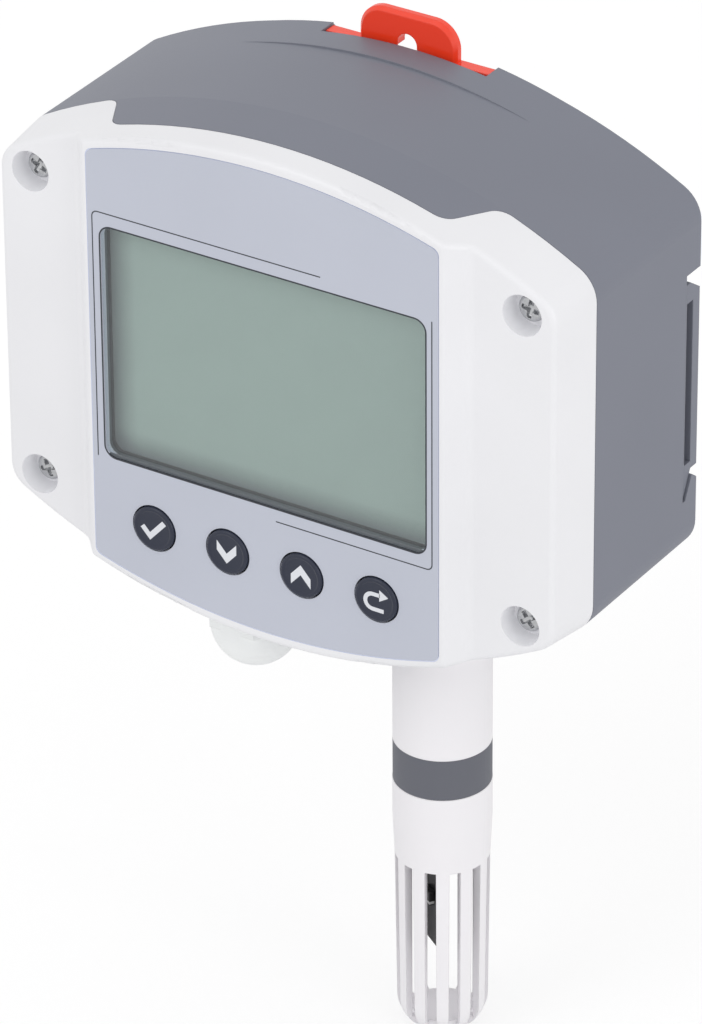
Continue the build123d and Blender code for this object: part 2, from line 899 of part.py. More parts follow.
def in_probe(shape):
    """Places what stands in the sensor board's own axes into the probe."""
    return Pos(probe_x, drop_y, 0) * Rot(0, 0, sensor_board_turn) * shape


def upright_box(y_from, y_to, width, z_from, z_to):
    """Box centred in X between two Y and two Z."""
    centre = Pos(0, (y_from + y_to) / 2, (z_from + z_to) / 2)
    return centre * Box(width, y_to - y_from, z_to - z_from)


def sensor_board():
    """Narrow board that carries the sensor behind the cap's slots."""
    y = -sensor_board_offset - sensor_board_thickness / 2
    top = sensor_board_top()
    low = top - sensor_board_length
    return in_probe(upright_box(y, y + sensor_board_thickness, sensor_board_width, low, top))


def sensor_chip():
    """Temperature and humidity sensor on the board's front."""
    y = -sensor_board_offset - sensor_board_thickness / 2
    low = sensor_board_top() - sensor_board_length + sensor_chip_lift - sensor_chip_side / 2
    return in_probe(upright_box(y - sensor_chip_thickness, y, sensor_chip_side, low, low + sensor_chip_side))


def sensor_holder():
    """Plug in the spigot's bore that grips the sensor board."""
    top = ring_top() - holder_drop
    low = top - holder_height
    plug = drop(probe_x, spigot_radius - spigot_wall - touch_gap, low, top)
    y = -sensor_board_offset - sensor_board_thickness / 2 - touch_gap
    slot = upright_box(y, y + sensor_board_thickness + 2 * touch_gap, sensor_board_width + 2 * touch_gap,
                       low - cut_over, top + cut_over)
    return plug - in_probe(slot)


def sensor_lead():
    """Round lead from the sensor board up the tube and forward into its socket."""
    turn = radians(sensor_board_turn)
    x = probe_x + sensor_board_offset * sin(turn)
    y = drop_y - sensor_board_offset * cos(turn)
    start = (x, y, sensor_board_top())
    corner = (x, y, socket_z())
    end = (x, board_back_y + socket_depth, socket_z())
    path = FilletPolyline(start, corner, end, radius=lead_bend_share * (y - end[1]))
    return sweep(Plane(origin=start, z_dir=(0, 0, 1)) * Circle(lead_radius), path=path)


# Cable gland


def gland_seat():
    """Height of the gland flange's upper face."""
    return boss_bottom(gland_x, gland_boss_radius) - gland_washer_thickness


def gland_body():
    """Gland body: thread through the boss, hexagon flange and the sleeve for the seal."""
    seat = gland_seat()
    top = boss_top(gland_x, gland_boss_radius) + gland_locknut_height + gland_stub_past_nut
    low = seat - gland_flange_height
    body = drop(gland_x, gland_thread_radius, seat, top)
    body += hexagon(gland_x, gland_flange_flats, low, seat)
    body += drop(gland_x, gland_lower_radius, low - gland_lower_length, low)
    return body - drop(gland_x, gland_bore_radius, low - gland_lower_length - cut_over, top + cut_over)


def gland_washer():
    """Flat seal under the gland's flange."""
    seat = gland_seat()
    top = seat + gland_washer_thickness
    disc = drop(gland_x, gland_flange_flats / 2, seat, top)
    return bored(disc, gland_x, gland_thread_radius + touch_gap, seat, top)


def gland_locknut():
    """Nut inside the case that holds the gland."""
    seat = boss_top(gland_x, gland_boss_radius)
    top = seat + gland_locknut_height
    nut = hexagon(gland_x, gland_locknut_flats, seat, top)
    return bored(nut, gland_x, gland_thread_radius + touch_gap, seat, top)


def gland_nut_top():
    """Height of the upper face of the domed nut."""
    return gland_seat() - gland_flange_height - gland_nut_gap


def gland_nut_bottom():
    """Height of the flat rim round the dome's cable hole."""
    rim = gland_nut_hole + touch_gap
    return gland_nut_top() - gland_nut_straight - sqrt(gland_nut_radius ** 2 - rim ** 2)


def gland_nut():
    """Domed nut that closes on the seal: a gripping hexagon above a round dome."""
    top = gland_nut_top()
    centre = top - gland_nut_straight
    bottom = gland_nut_bottom()
    rim = gland_nut_hole + touch_gap
    middle = (gland_nut_radius * sin(radians(60)), centre - gland_nut_radius * cos(radians(60)))
    side = Polyline((0, bottom), (0, top), (gland_nut_radius, top), (gland_nut_radius, centre))
    dome = ThreePointArc((gland_nut_radius, centre), middle, (rim, bottom))
    base = Line((rim, bottom), (0, bottom))
    body = Pos(gland_x, drop_y, 0) * revolve(Plane.XZ * make_face([side, dome, base]), Axis.Z)
    body += hexagon(gland_x, gland_nut_flats, top - gland_nut_grip, top)
    body -= drop(gland_x, gland_lower_radius + fit_gap, bottom + gland_nut_floor, top + cut_over)
    return body - drop(gland_x, gland_nut_hole, bottom - cut_over, top)


def gland_seal():
    """Rubber sleeve that grips the cable."""
    low = gland_nut_bottom() + gland_nut_floor + 2 * fit_gap
    sleeve = drop(gland_x, seal_radius, low, low + seal_length)
    return sleeve - drop(gland_x, seal_bore_radius, low - cut_over, low + seal_length + cut_over)


# Wall fixing


def rail_clip():
    """Red sliding clip: pull tab with a keyhole, guided shoulders, spring fingers and a hook end."""
    shoulder = (clip_shoulder + finger_end) / 2
    plate = Pos(0, shoulder) * Rectangle(clip_width, clip_shoulder - finger_end)
    tab_height = clip_top - hook_end
    plate += Pos(0, hook_end + tab_height / 2) * Rectangle(hook_width, tab_height)
    tab = Pos(0, (clip_top + clip_shoulder - tab_corner) / 2) * RectangleRounded(
        tab_width, clip_top - clip_shoulder + tab_corner, tab_corner)
    lower_height = clip_shoulder - hook_end
    below = Pos(0, hook_end + lower_height / 2) * Rectangle(clip_width, lower_height)
    plate = (plate & below) + tab
    slot_length = finger_root - finger_end + cut_over
    for side in (-1, 1):
        x = side * (clip_width / 2 - finger_width - finger_slot / 2)
        plate -= Pos(x, finger_root - slot_length / 2) * Rectangle(finger_slot, slot_length)
    plate -= Pos(0, keyhole_centre) * Circle(keyhole_radius)
    plate -= Pos(0, keyhole_neck_centre) * Circle(keyhole_neck_radius)
    neck = keyhole_neck_centre - keyhole_centre
    plate -= Pos(0, keyhole_centre + neck / 2) * Rectangle(2 * keyhole_neck_radius, neck)
    clip = prism(plate, clip_front_y, clip_rear_y)
    rims = [
        edge
        for edge in clip.edges()
        if edge.center().Z > clip_shoulder + touch_gap
        and (abs(edge.center().X) > tab_width / 4 or edge.center().Z > clip_top - touch_gap)
        and abs(edge.center().Y - (clip_front_y + clip_rear_y) / 2) > clip_thickness / 4
    ]
    return chamfer(rims, tab_edge)


def wall_plate():
    """Plate that is screwed to the wall: a rail-shaped section with a tongue for the hook groove."""
    slant = (channel_depth - hook_gap - lip_reach) / (hook_floor - lip_top)
    tongue_y = -channel_depth + hook_gap + slant * (hook_floor - tongue_end) - tongue_gap
    bottom_y = tongue_y + slant * (tongue_end - plate_bottom)
    body = across([
        (plate_front_y, plate_top),
        (-plate_slope, plate_top),
        (0, plate_back_top),
        (0, -plate_bottom),
        (bottom_y, -plate_bottom),
        (tongue_y, -tongue_end),
        (plate_front_y, -tongue_end),
    ])
    width = case_width - 2 * plate_side_gap
    body &= block(0, 0, width, case_height, plate_front_y, 0)
    length = width / 2 - plate_end_wall + cut_over
    slot_z = (plate_slot_top + plate_slot_bottom) / 2
    for side in (-1, 1):
        x = side * (plate_end_wall + length / 2)
        body -= block(x, slot_z, length, plate_slot_top - plate_slot_bottom, -plate_slot_front, -plate_slot_back)
    catch_low = hook_end - 2 * fit_gap
    catch_height = plate_top - catch_low + cut_over
    body -= block(0, catch_low + catch_height / 2, hook_width + 4 * fit_gap, catch_height,
                  plate_front_y + plate_lip, cut_over)
    for side in (-1, 1):
        x = side * wall_screw_spacing / 2
        body -= rod(x, 0, wall_screw_radius, plate_front_y - cut_over, cut_over)
        sink = Plane(origin=(x, plate_front_y, 0), z_dir=(0, 1, 0)) * Circle(wall_screw_head_radius)
        small = Plane(origin=(x, plate_front_y + wall_screw_sink, 0), z_dir=(0, 1, 0)) * Circle(wall_screw_radius)
        body -= loft(Sketch() + [sink, small], ruled=True)
    return body


parts = {
    "front_cover": front_cover(),
    "rear_housing": rear_housing(),
    "cover_gasket": cover_gasket(),
    "cover_screws": cover_screws(),
    "screw_inserts": screw_inserts(),
    "front_label": front_label(),
    "window_lens": window_lens(),
    "lcd_bezel": lcd_bezel(),
    "lcd_glass": lcd_glass(),
    "backlight": backlight(),
    "lcd_pins": lcd_pins(),
    "main_board": main_board(),
    "board_screws": board_screws(),
    "tact_switches": tact_switches(),
    "control_chip": control_chip(),
    "filter_capacitor": filter_capacitor(),
    "terminal_block": terminal_block(),
    "terminal_screws": terminal_screws(),
    "sensor_socket": sensor_socket(),
    "sensor_lead": sensor_lead(),
    "sensor_holder": sensor_holder(),
    "sensor_board": sensor_board(),
    "sensor_chip": sensor_chip(),
    "probe_tube": probe_tube(),
    "probe_seal": probe_seal(),
    "probe_nut": probe_nut(),
    "probe_ring": probe_ring(),
    "probe_cap": probe_cap(),
    "gland_body": gland_body(),
    "gland_washer": gland_washer(),
    "gland_locknut": gland_locknut(),
    "gland_seal": gland_seal(),
    "gland_nut": gland_nut(),
    "rail_clip": rail_clip(),
    "wall_plate": wall_plate(),
}
for index, name in enumerate(button_names):
    parts[f"button_{name}"] = button(index)
    parts[f"plunger_{name}"] = plunger(index)

os.makedirs("parts", exist_ok=True)
for name, shape in parts.items():
    export_step(shape, f"parts/{name}.step")
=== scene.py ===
import json
import math
import bmesh
import bpy
import numpy as np
from mathutils import Matrix, Vector


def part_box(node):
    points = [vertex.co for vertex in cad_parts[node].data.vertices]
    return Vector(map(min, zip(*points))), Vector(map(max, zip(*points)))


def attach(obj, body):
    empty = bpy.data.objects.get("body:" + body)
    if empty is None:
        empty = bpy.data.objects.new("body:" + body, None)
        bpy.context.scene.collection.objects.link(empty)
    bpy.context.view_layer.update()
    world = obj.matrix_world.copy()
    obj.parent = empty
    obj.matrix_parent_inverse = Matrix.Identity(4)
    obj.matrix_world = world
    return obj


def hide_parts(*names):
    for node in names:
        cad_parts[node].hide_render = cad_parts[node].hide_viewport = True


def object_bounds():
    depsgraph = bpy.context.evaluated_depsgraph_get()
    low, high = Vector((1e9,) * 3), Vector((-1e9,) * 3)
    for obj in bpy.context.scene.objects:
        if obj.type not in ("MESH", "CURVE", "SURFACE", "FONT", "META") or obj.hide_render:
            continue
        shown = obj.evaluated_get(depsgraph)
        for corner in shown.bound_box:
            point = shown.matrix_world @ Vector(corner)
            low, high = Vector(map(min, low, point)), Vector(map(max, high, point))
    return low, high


bl_info = {
    "name": "Wall sensor finisher",
    "version": (1, 0, 0),
    "blender": (4, 5, 0),
    "location": "3D View > Sidebar > Sensor",
    "description": "Dresses a wall-mounted temperature and humidity sensor: finishes, keys, print and stage",
    "category": "Object",
}

MM = 0.001
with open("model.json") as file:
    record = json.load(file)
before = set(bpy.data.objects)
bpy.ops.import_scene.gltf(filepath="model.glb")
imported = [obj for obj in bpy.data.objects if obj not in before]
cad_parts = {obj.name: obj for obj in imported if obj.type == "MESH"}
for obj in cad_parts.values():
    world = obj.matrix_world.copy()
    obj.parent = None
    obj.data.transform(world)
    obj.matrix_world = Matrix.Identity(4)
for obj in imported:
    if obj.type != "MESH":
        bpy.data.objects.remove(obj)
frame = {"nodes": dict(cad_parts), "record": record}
cad_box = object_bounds()
record = frame["record"]
KEYS = ("ok", "down", "up", "back")
ACROSS_Y = (1, 0, 1)            # the directions across an axis along Y
TOUCH = 0.05 * MM               # how far a mask reaches past the surface that it paints
MERGE = 0.0005 * MM             # points of a surface that are closer than this are one

# Film and window
film_low, film_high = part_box("front_label")
pane_low, pane_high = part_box("backlight")
PANE_MARGIN = 0.2 * MM          # the light guide is this much larger than the window all round
window_left, window_right = pane_low.x + PANE_MARGIN, pane_high.x - PANE_MARGIN
window_bottom, window_top = pane_low.z + PANE_MARGIN, pane_high.z - PANE_MARGIN
WINDOW_CORNER = 2.0 * MM
FILM_Y = film_low.y
FILM_BACK = FILM_Y + 0.3 * MM
FILM_BOW = 5.0 * MM             # how far the film's top and bottom edges bow out
FILM_GAP = 0.15 * MM            # between the film's edge and the cover

# Cover screws and their wells
screws_low, screws_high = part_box("cover_screws")
HEAD_MARGIN = 2.9 * MM          # from a screw's axis to the side of the box round all four
WELL_FLOOR = screws_low.y + 1.9 * MM            # the heads seat on it
WELL_DEPTH = 4.2 * MM
WELL_RADIUS = 3.5 * MM
SCREW_PLACES = [(side * (screws_high.x - HEAD_MARGIN), end * (screws_high.z - HEAD_MARGIN))
                for side in (-1, 1) for end in (-1, 1)]
SCREW_TURNS = np.radians([20, 65, 35, 80])      # how far each cross recess is turned


# Colours

def linear(code):
    """Linear RGBA of an sRGB hex code, by the standard's two parts: a straight line near black and a
    power of 2.4 above it."""
    value = np.array([int(code[i:i + 2], 16) for i in (0, 2, 4)]) / 255
    low = value / 12.92
    high = ((value + 0.055) / 1.055) ** 2.4
    return (*np.where(value <= 0.04045, low, high), 1.0)


def colour(name, code, about):
    """A colour that the user can change."""
    return bpy.props.FloatVectorProperty(
        name=name, description=about, subtype="COLOR", size=4, min=0, max=1, default=linear(code))


def length(name, millimetres, about):
    """A length that the user can change, given here in millimetres."""
    return bpy.props.FloatProperty(
        name=name, description=about, unit="LENGTH", precision=5, min=0, default=millimetres * MM)


class SensorColours(bpy.types.PropertyGroup):
    """Colours of the finishes."""

    cover: colour("Cover", "F1F1F4", "White of the front cover")
    housing: colour("Housing", "7A7D89", "Grey of the housing and the wall plate")
    film: colour("Film", "C3C7D4", "Printed front film")
    ink: colour("Ink", "30343C", "Lines printed on the film")
    display: colour("Display", "A4B9B3", "Resting display")
    display_shade: colour("Display edge", "62666E", "Display in the shade of the window's edges")
    # the ledge's colour is painted light: behind the window it glows by a share of itself, and a darker share
    # is painted shade along its lower side
    ledge: colour("Ledge", "B0B8C0", "Ledge round the display, lit by its light guide")
    # besides the frame's own colour, this paints the cover's walls behind the ledge dark: painted shade
    frame: colour("Frame", "82888E", "Masked walls and frame round the display")
    key: colour("Keys", "292E3F", "Key caps")
    symbol: colour("Key symbols", "E4E6EC", "Print on the keys")
    clip: colour("Rail clip", "EE3D20", "Red of the rail clip")
    ring: colour("Probe ring", "64666F", "Ring between tube and cap")
    probe: colour("Probe", "F7F5F8", "White of the probe's tube and cap")
    gland: colour("Gland", "FAFCFC", "White of the cable gland")
    floor: colour("Floor", "F6F6F6", "Floor of the stage")


class SensorSizes(bpy.types.PropertyGroup):
    """Sizes of the printed and turned details."""

    print_height: length("Print height", 0.02, "How far print stands off its surface")
    outline_width: length("Window outline", 0.26, "Width of the line round the window")
    line_width: length("Thin line", 0.19, "Width of the two open lines round the window")
    left_gap: length("Left line gap", 1.45, "From the window's left side to the upright line")
    right_gap: length("Right line gap", 1.2, "From the window's right side to the upright line")
    line_end: length("Thin line end", 0.4, "How far the upright lines pass the window's ends")
    line_rise: length("Thin line rise", 2.4, "From the window's ends to the level lines")
    line_corner: length("Thin line corner", 1.0, "Radius of the thin lines' corners")
    key_radius: length("Key radius", 3.9, "Radius of a key's round face")
    key_dome: length("Key rim height", 0.43, "How far a key's rim stands off the film")
    key_dish: length("Key dish", 0.13, "How far a key's flat face lies below its rim")
    key_skirt: length("Key skirt", 2.55, "From the film back to a key's stop flange")
    key_flange: length("Key flange", 0.8, "Thickness of the stop flange")
    key_stem: length("Key stem", 1.6, "Radius of a key's stem")
    head_radius: length("Screw head", 2.3, "Radius of a cover screw's head")
    head_height: length("Screw head height", 1.9, "Height of a cover screw's head")
    shank_radius: length("Screw shank", 1.5, "Radius over a cover screw's thread")
    thread_pitch: length("Screw pitch", 0.7, "Pitch of a cover screw's thread")
    cross_half: length("Cross recess", 0.36, "Half width of the cross recess's arms")
    cross_reach: length("Cross reach", 1.5, "From the screw's axis to the ends of the arms")
    cross_depth: length("Cross depth", 1.1, "Depth of the cross recess at its middle")


# Surfaces

BEND_POINTS = 17                # points along a half circle
CORNER_POINTS = 9               # points along a quarter circle


def skin(rings, closed=False):
    """Points and groups of faces of a surface through rings of points, whole arrays at a time:
    four-sided faces join each ring to the next, and the last to the first if closed; otherwise each
    end is closed by a fan from the ring's middle point."""
    count, around = rings.shape[:2]
    index = np.arange(count * around).reshape(count, around)
    near = index if closed else index[:-1]
    far = np.roll(index, -1, axis=0) if closed else index[1:]
    quads = np.stack([near, np.roll(near, -1, 1), np.roll(far, -1, 1), far], -1).reshape(-1, 4)
    points = rings.reshape(-1, 3)
    if closed:
        return points, [quads]
    middles = rings[[0, -1]].mean(axis=1)
    fans = [np.stack([index[end], np.roll(index[end], -1), np.full(around, middle)], -1)
            for end, middle in ((0, len(points)), (-1, len(points) + 1))]
    return np.vstack([points, middles]), [quads, *fans]


def piece(name, surfaces, material, body, sharp=30.0):
    """One object from several surfaces, outward normals, smooth but for edges sharper than an angle."""
    points, faces, start = [], [], 0
    for some_points, groups in surfaces:
        for group in groups:
            faces += (start + group).tolist()
        points.append(some_points)
        start += len(some_points)
    mesh = bpy.data.meshes.new(name)
    mesh.from_pydata(np.vstack(points).tolist(), [], faces)
    work = bmesh.new()
    work.from_mesh(mesh)
    bmesh.ops.remove_doubles(work, verts=work.verts, dist=MERGE)
    bmesh.ops.recalc_face_normals(work, faces=work.faces)
    work.to_mesh(mesh)
    work.free()
    mesh.shade_smooth()
    mesh.set_sharp_from_angle(angle=math.radians(sharp))
    mesh.materials.append(material)
    obj = bpy.data.objects.new(name, mesh)
    bpy.context.scene.collection.objects.link(obj)
    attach(obj, body)
    return obj


def ribbon(path, half, face_y, height):
    """Printed stroke: at each point of a path in X and Z, a four-cornered section whose sides lie at
    plus and minus half, and whose front and back stand off the plane at face_y by the height."""
    corners = []
    for side, lift in ((half, 1.0), (-half, 1.0), (-half, -1.0), (half, -1.0)):
        place = path + side
        y = np.full(len(place), face_y - lift * height)
        corners.append(np.stack([place[:, 0], y, place[:, 1]], -1))
    return np.stack(corners, axis=1)


def mitres(path, width, closed=False):
    """Half-width vectors square to a path; at a bend the vector lies on the bisector and is longer by
    one over the cosine of half the turn."""
    if closed:
        ahead = np.roll(path, -1, axis=0) - path
    else:
        ahead = np.diff(path, axis=0, append=2 * path[-1:] - path[-2:-1])
    ahead /= np.linalg.norm(ahead, axis=1, keepdims=True)
    behind = np.roll(ahead, 1, axis=0)
    if not closed:
        behind[0] = ahead[0]
    square_ahead = np.stack([-ahead[:, 1], ahead[:, 0]], -1)
    square_behind = np.stack([-behind[:, 1], behind[:, 0]], -1)
    bisector = square_ahead + square_behind
    bisector /= (bisector * square_ahead).sum(axis=1, keepdims=True)
    return bisector * np.reshape(width, (-1, 1)) / 2


def arc(centre, radius, start, end, count):
    """Points on a circle's arc in X and Z, angles in degrees from +X towards +Z."""
    angle = np.radians(np.linspace(start, end, count))
    return np.stack([centre[0] + radius * np.cos(angle), centre[1] + radius * np.sin(angle)], -1)


def lathe(x, z, radius, y, around):
    """Surface of revolution about an axis along Y: ring i has radius[i] at y[i]; both may also be
    arrays over the rings and the turn, so that a thread or a recess can vary round the axis."""
    turn = np.linspace(0, 2 * np.pi, around, endpoint=False)
    radius = np.broadcast_to(np.reshape(radius, (len(radius), -1)), (len(radius), around))
    y = np.broadcast_to(np.reshape(y, (len(y), -1)), (len(y), around))
    return np.stack([x + radius * np.cos(turn), y, z + radius * np.sin(turn)], -1)


def smooth_step(value):
    """Zero below 0, one above 1, and between them three times the square less twice the cube."""
    value = np.clip(value, 0, 1)
    return value * value * (3 - 2 * value)


# Materials

TONE_DARK, TONE_LIGHT = 0.3, 0.7    # nearly all values of a noise pattern lie between these


def add(tree, kind, values=None, links=None, **settings):
    """Adds one shader node, sets its options and input values, and links its inputs from sockets."""
    node = tree.nodes.new("ShaderNode" + kind)
    for name, value in settings.items():
        setattr(node, name, value)
    for name, value in (values or {}).items():
        node.inputs[name].default_value = value
    for name, socket in (links or {}).items():
        tree.links.new(socket, node.inputs[name])
    return node


def blank(name):
    """An empty node material with its output node and the Object coordinates."""
    material = bpy.data.materials.new(name)
    material.use_nodes = True
    tree = material.node_tree
    tree.nodes.clear()
    out = tree.nodes.new("ShaderNodeOutputMaterial")
    place = add(tree, "TexCoord").outputs["Object"]
    return material, tree, out, place


def stops(ramp, *pairs):
    """Sets a colour ramp from pairs of position and colour."""
    elements = ramp.color_ramp.elements
    while len(elements) > 1:
        elements.remove(elements[-1])
    elements[0].position, elements[0].color = pairs[0]
    for position, value in pairs[1:]:
        elements.new(position).color = value


def shade(value, factor):
    """A colour made lighter or darker by one factor."""
    return (*[min(1.0, channel * factor) for channel in value[:3]], 1.0)


def moulded(name, base, roughness, grain_mm, depth_mm, ior=1.54, edge_mm=0.0, gloss_spread=0.06, glow=0.0):
    """Injection-moulded plastic: a tone that drifts slowly with the flow of the melt, a texture from
    the mould of the given grain and depth, gloss that varies with it, and edges eased by edge_mm. The
    real grains are too fine for the render, so they are drawn as coarse as they need to show. A glow
    is painted light: the whole surface emits that share of its base colour."""
    drift_mm = 30
    material, tree, out, place = blank(name)
    drift = add(tree, "TexNoise", {"Scale": 1 / (drift_mm * MM), "Detail": 2.0}, {"Vector": place})
    tone = add(tree, "ValToRGB", links={"Fac": drift.outputs["Fac"]})
    stops(tone, (TONE_DARK, shade(base, 0.975)), (TONE_LIGHT, shade(base, 1.015)))
    grain = add(tree, "TexNoise", {"Scale": 1 / (grain_mm * MM), "Detail": 3.0, "Roughness": 0.6},
                {"Vector": place})
    gloss = add(tree, "MapRange",
                {"To Min": roughness - gloss_spread / 2, "To Max": roughness + gloss_spread / 2},
                {"Value": grain.outputs["Fac"]})
    relief = {"Height": grain.outputs["Fac"]}
    if edge_mm:
        relief["Normal"] = add(tree, "Bevel", {"Radius": edge_mm * MM}, samples=4).outputs["Normal"]
    bump = add(tree, "Bump", {"Strength": 0.6, "Distance": depth_mm * MM}, relief)
    shader = add(tree, "BsdfPrincipled", {"IOR": ior, "Emission Color": base, "Emission Strength": glow}, {
        "Base Color": tone.outputs["Color"], "Roughness": gloss.outputs["Result"],
        "Normal": bump.outputs["Normal"]})
    tree.links.new(shader.outputs["BSDF"], out.inputs["Surface"])
    return material


def metal(name, base, roughness, patch_mm):
    """Plated, turned or drawn metal: brightness and gloss vary in fine patches of the given size."""
    patch_depth_mm = 0.01
    material, tree, out, place = blank(name)
    patches = add(tree, "TexNoise", {"Scale": 1 / (patch_mm * MM), "Detail": 4.0}, {"Vector": place})
    tone = add(tree, "ValToRGB", links={"Fac": patches.outputs["Fac"]})
    stops(tone, (TONE_DARK, shade(base, 0.8)), (TONE_LIGHT, base))
    gloss = add(tree, "MapRange", {"To Min": roughness * 0.7, "To Max": roughness * 1.3},
                {"Value": patches.outputs["Fac"]})
    bump = add(tree, "Bump", {"Strength": 0.3, "Distance": patch_depth_mm * MM},
               {"Height": patches.outputs["Fac"]})
    shader = add(tree, "BsdfPrincipled", {"Metallic": 1.0}, {
        "Base Color": tone.outputs["Color"], "Roughness": gloss.outputs["Result"],
        "Normal": bump.outputs["Normal"]})
    tree.links.new(shader.outputs["BSDF"], out.inputs["Surface"])
    return material


def mask(material, paint, box, glow=0.0, rods=()):
    """Paints the part of a material that lies inside a box of Object coordinates and inside rods, and
    lets it glow by a share of the paint's brightness. A rod is given by the directions across it, a
    point on its axis and its radius."""
    tree = material.node_tree
    shader = next(n for n in tree.nodes if n.type == "BSDF_PRINCIPLED")
    place = next(n for n in tree.nodes if n.type == "TEX_COORD").outputs["Object"]
    split = add(tree, "SeparateXYZ", links={"Vector": place})
    tests = []
    for axis, (low, high) in box.items():
        tests.append(add(tree, "Math", {1: low}, {0: split.outputs[axis]}, operation="GREATER_THAN"))
        tests.append(add(tree, "Math", {1: high}, {0: split.outputs[axis]}, operation="LESS_THAN"))
    for across, point, radius in rods:
        flat = add(tree, "VectorMath", {1: across}, {0: place}, operation="MULTIPLY")
        off_axis = add(tree, "VectorMath", {1: point}, {0: flat.outputs[0]}, operation="DISTANCE")
        tests.append(add(tree, "Math", {1: radius}, {0: off_axis.outputs["Value"]}, operation="LESS_THAN"))
    inside = tests[0].outputs[0]
    for test in tests[1:]:
        both = {0: inside, 1: test.outputs[0]}
        inside = add(tree, "Math", links=both, operation="MULTIPLY").outputs[0]
    paints = {"Base Color": paint}
    if glow:
        paints["Emission Color"] = shade(paint, glow)
        shader.inputs["Emission Strength"].default_value = 1.0
    for name, value in paints.items():
        socket = shader.inputs[name]
        mix = add(tree, "Mix", data_type="RGBA")
        mix.inputs[6].default_value, mix.inputs[7].default_value = (0, 0, 0, 1), value
        tree.links.new(inside, mix.inputs[0])
        if socket.links:
            tree.links.new(socket.links[0].from_socket, mix.inputs[6])
        tree.links.new(mix.outputs[2], socket)


def cover_abs(colours):
    """Satin white ABS, moulded against a fine spark texture. The screw wells have a painted glow that
    keeps them light. The narrow recess round the film is painted in the film's colour with a painted
    glow over its shade. Behind the window the ledge is painted light and glows, with painted shade
    along its lower side, and the walls below it are painted dark as painted shade."""
    # shares of their paint with which the wells, the film's recess and the ledge glow: painted light
    well_glow, painted_glow = 0.08, 0.45
    # the recess's tint is the film's colour painted in, with a painted glow over the gap's shade
    face_ease = 0.01 * MM           # from the film's face back to where the recess's tint begins
    seat = 1.6 * MM                 # how far the ledge's paint reaches round the window
    ledge_y = FILM_Y + 1.9 * MM
    walls_end = FILM_Y + 6 * MM
    material = moulded("abs_satin_white_moulded", colours.cover, roughness=0.36, grain_mm=0.35,
                       depth_mm=0.012)
    well = {"Y": (WELL_FLOOR - WELL_DEPTH + TOUCH, WELL_FLOOR + TOUCH)}
    for x, z in SCREW_PLACES:
        # painted light: the wells glow by a share of the cover's colour, which lifts their shade
        mask(material, colours.cover, well, well_glow, [(ACROSS_Y, (x, 0, z), WELL_RADIUS + TOUCH)])
    half, apex = film_high.x + FILM_GAP + TOUCH, film_high.z + FILM_GAP + TOUCH
    radius = (half ** 2 + FILM_BOW ** 2) / (2 * FILM_BOW)
    arches = [(ACROSS_Y, (0, 0, height), radius) for height in (apex - radius, radius - apex)]
    recess = {"X": (-half, half), "Y": (FILM_Y + face_ease, FILM_BACK + TOUCH)}
    # painted light: the recess round the film is painted in the film's colour and glows, which hides its
    # shade
    mask(material, colours.film, recess, painted_glow, arches)
    across = (window_left - seat, window_right + seat)
    upright = (window_bottom - seat, window_top + seat)
    lower_side = (window_bottom - seat, window_bottom + 0.1 * MM)
    behind_film = (FILM_BACK + TOUCH, ledge_y)
    # painted light: the ledge behind the window is painted light and glows
    mask(material, colours.ledge, {"X": across, "Z": upright, "Y": behind_film}, painted_glow)
    # painted shade: the ledge's lower side is painted darker, though it glows too
    mask(material, shade(colours.ledge, 0.4), {"X": across, "Z": lower_side, "Y": behind_film}, painted_glow)
    # painted shade: the white walls behind the ledge are painted in the frame's dark colour
    mask(material, colours.frame, {"X": across, "Z": upright, "Y": (ledge_y, walls_end)})
    return material


def film_polyester(colours):
    """Velvet-textured polyester film, printed from behind in pale blue grey, which gives a soft sheen
    without a mirror image; its cut edge below the window is painted in the ink's colour."""
    reach = 0.5 * MM
    cut_edge = (FILM_Y + 0.02 * MM, FILM_BACK - 0.01 * MM)
    material = moulded("polyester_film_velvet", colours.film, roughness=0.55, grain_mm=0.18, depth_mm=0.015,
                       ior=1.6)
    mask(material, colours.ink, {
        "X": (window_left - reach, window_right + reach),
        "Z": (window_bottom - reach, window_bottom + reach),
        "Y": cut_edge})
    return material


